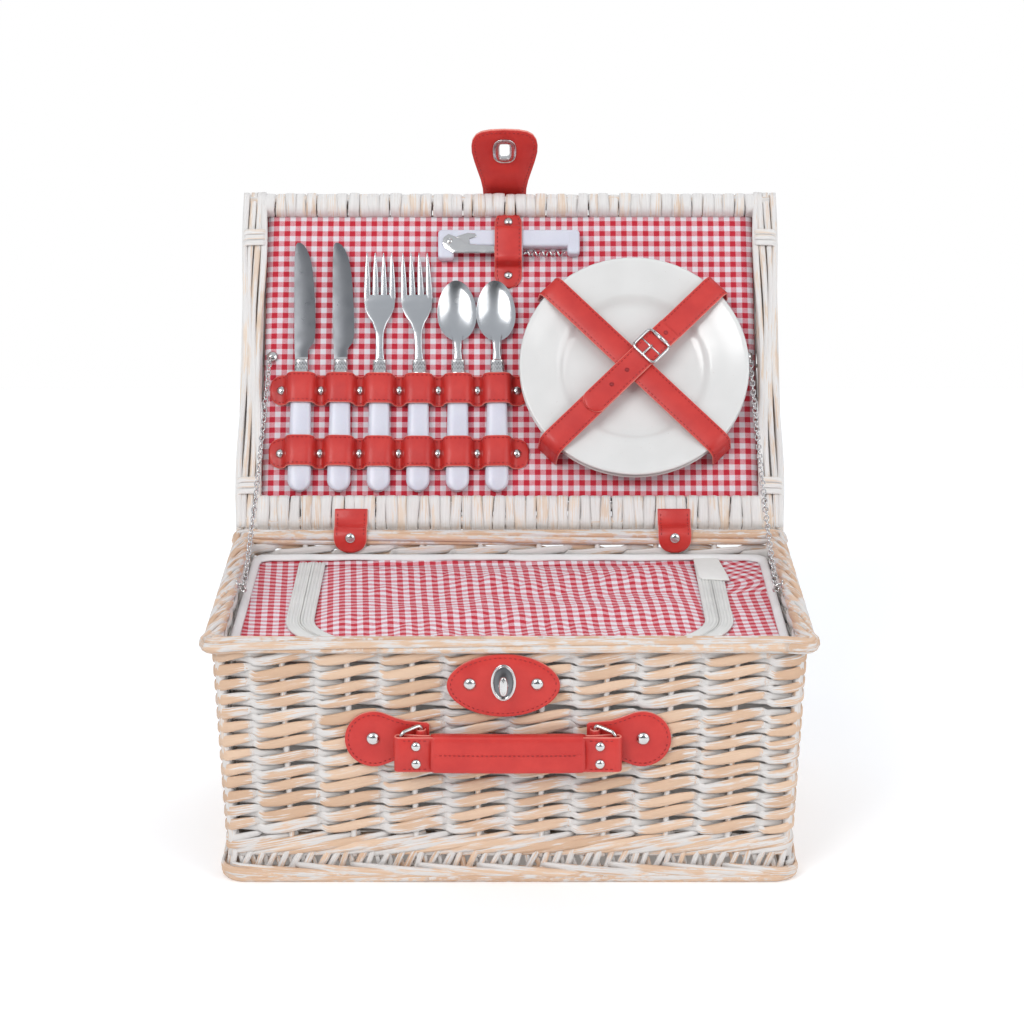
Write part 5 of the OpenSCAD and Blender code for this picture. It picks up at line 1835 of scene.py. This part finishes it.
def stage():
    world = bpy.data.worlds.new("studio")
    bpy.context.scene.world = world
    world.use_nodes = True
    tree = world.node_tree
    glow = tree.nodes["Background"]
    glow.inputs[0].default_value = (0.90, 0.94, 1.0, 1)
    place, split = tree.nodes.new("ShaderNodeTexCoord"), tree.nodes.new("ShaderNodeSeparateXYZ")
    dim = tree.nodes.new("ShaderNodeMapRange")
    tree.links.new(place.outputs["Generated"], split.inputs[0])
    tree.links.new(split.outputs["Y"], dim.inputs["Value"])
    for key, number in (("From Min", -0.97), ("From Max", -0.72), ("To Min", 0.12), ("To Max", 0.72)):
        dim.inputs[key].default_value = number
    tree.links.new(dim.outputs[0], glow.inputs[1])
    backdrop = tree.nodes.new("ShaderNodeBackground")
    backdrop.inputs[0].default_value = (1, 1, 1, 1)
    seen, both = tree.nodes.new("ShaderNodeLightPath"), tree.nodes.new("ShaderNodeMixShader")
    tree.links.new(seen.outputs["Is Camera Ray"], both.inputs[0])
    tree.links.new(glow.outputs[0], both.inputs[1])
    tree.links.new(backdrop.outputs[0], both.inputs[2])
    tree.links.new(both.outputs[0], tree.nodes["World Output"].inputs[0])
    mesh = bpy.data.meshes.new("floor")
    mesh.from_pydata([(-1.5, -1.5, 0), (1.5, -1.5, 0), (1.5, 1.3, 0), (-1.5, 1.3, 0)], [], [(0, 1, 2, 3)])
    floor = bpy.data.objects.new("floor", mesh)
    bpy.context.scene.collection.objects.link(floor)
    s = Shader("floor", roughness=0.6)
    s.color(s.mix(s.noise(s.object_place(), 3, 3), (0.93, 0.93, 0.93), (0.90, 0.90, 0.90)))
    s.set("Emission Color", (1, 1, 1, 1)).set("Emission Strength", 0.16)
    floor.data.materials.append(s.material)
    for name, place, size, power in (
        ("key", (-1.6, -2.4, 2.3), 1.8, 58),
        ("fill", (2.2, -1.8, 1.6), 2.2, 30),
        ("back", (0.4, 2.2, 2.4), 1.6, 18),
    ):
        light = bpy.data.objects.new(name, bpy.data.lights.new(name, "AREA"))
        light.data.size = size
        light.data.energy = power
        light.location = place
        light.rotation_euler = (Vector((0, 0, 0.15)) - light.location).to_track_quat("-Z", "Y").to_euler()
        bpy.context.scene.collection.objects.link(light)
    bpy.context.scene.view_settings.view_transform = "Standard"


def camera():
    lens = bpy.data.cameras.new("camera")
    lens.lens = 108.5
    lens.sensor_width = 36
    view = bpy.data.objects.new("camera", lens)
    view.location = (0.0016, -2.037, 0.787)
    view.rotation_euler = (math.radians(90 - 15.54), 0, 0)
    bpy.context.scene.collection.objects.link(view)
    bpy.context.scene.camera = view


camera()
stage()
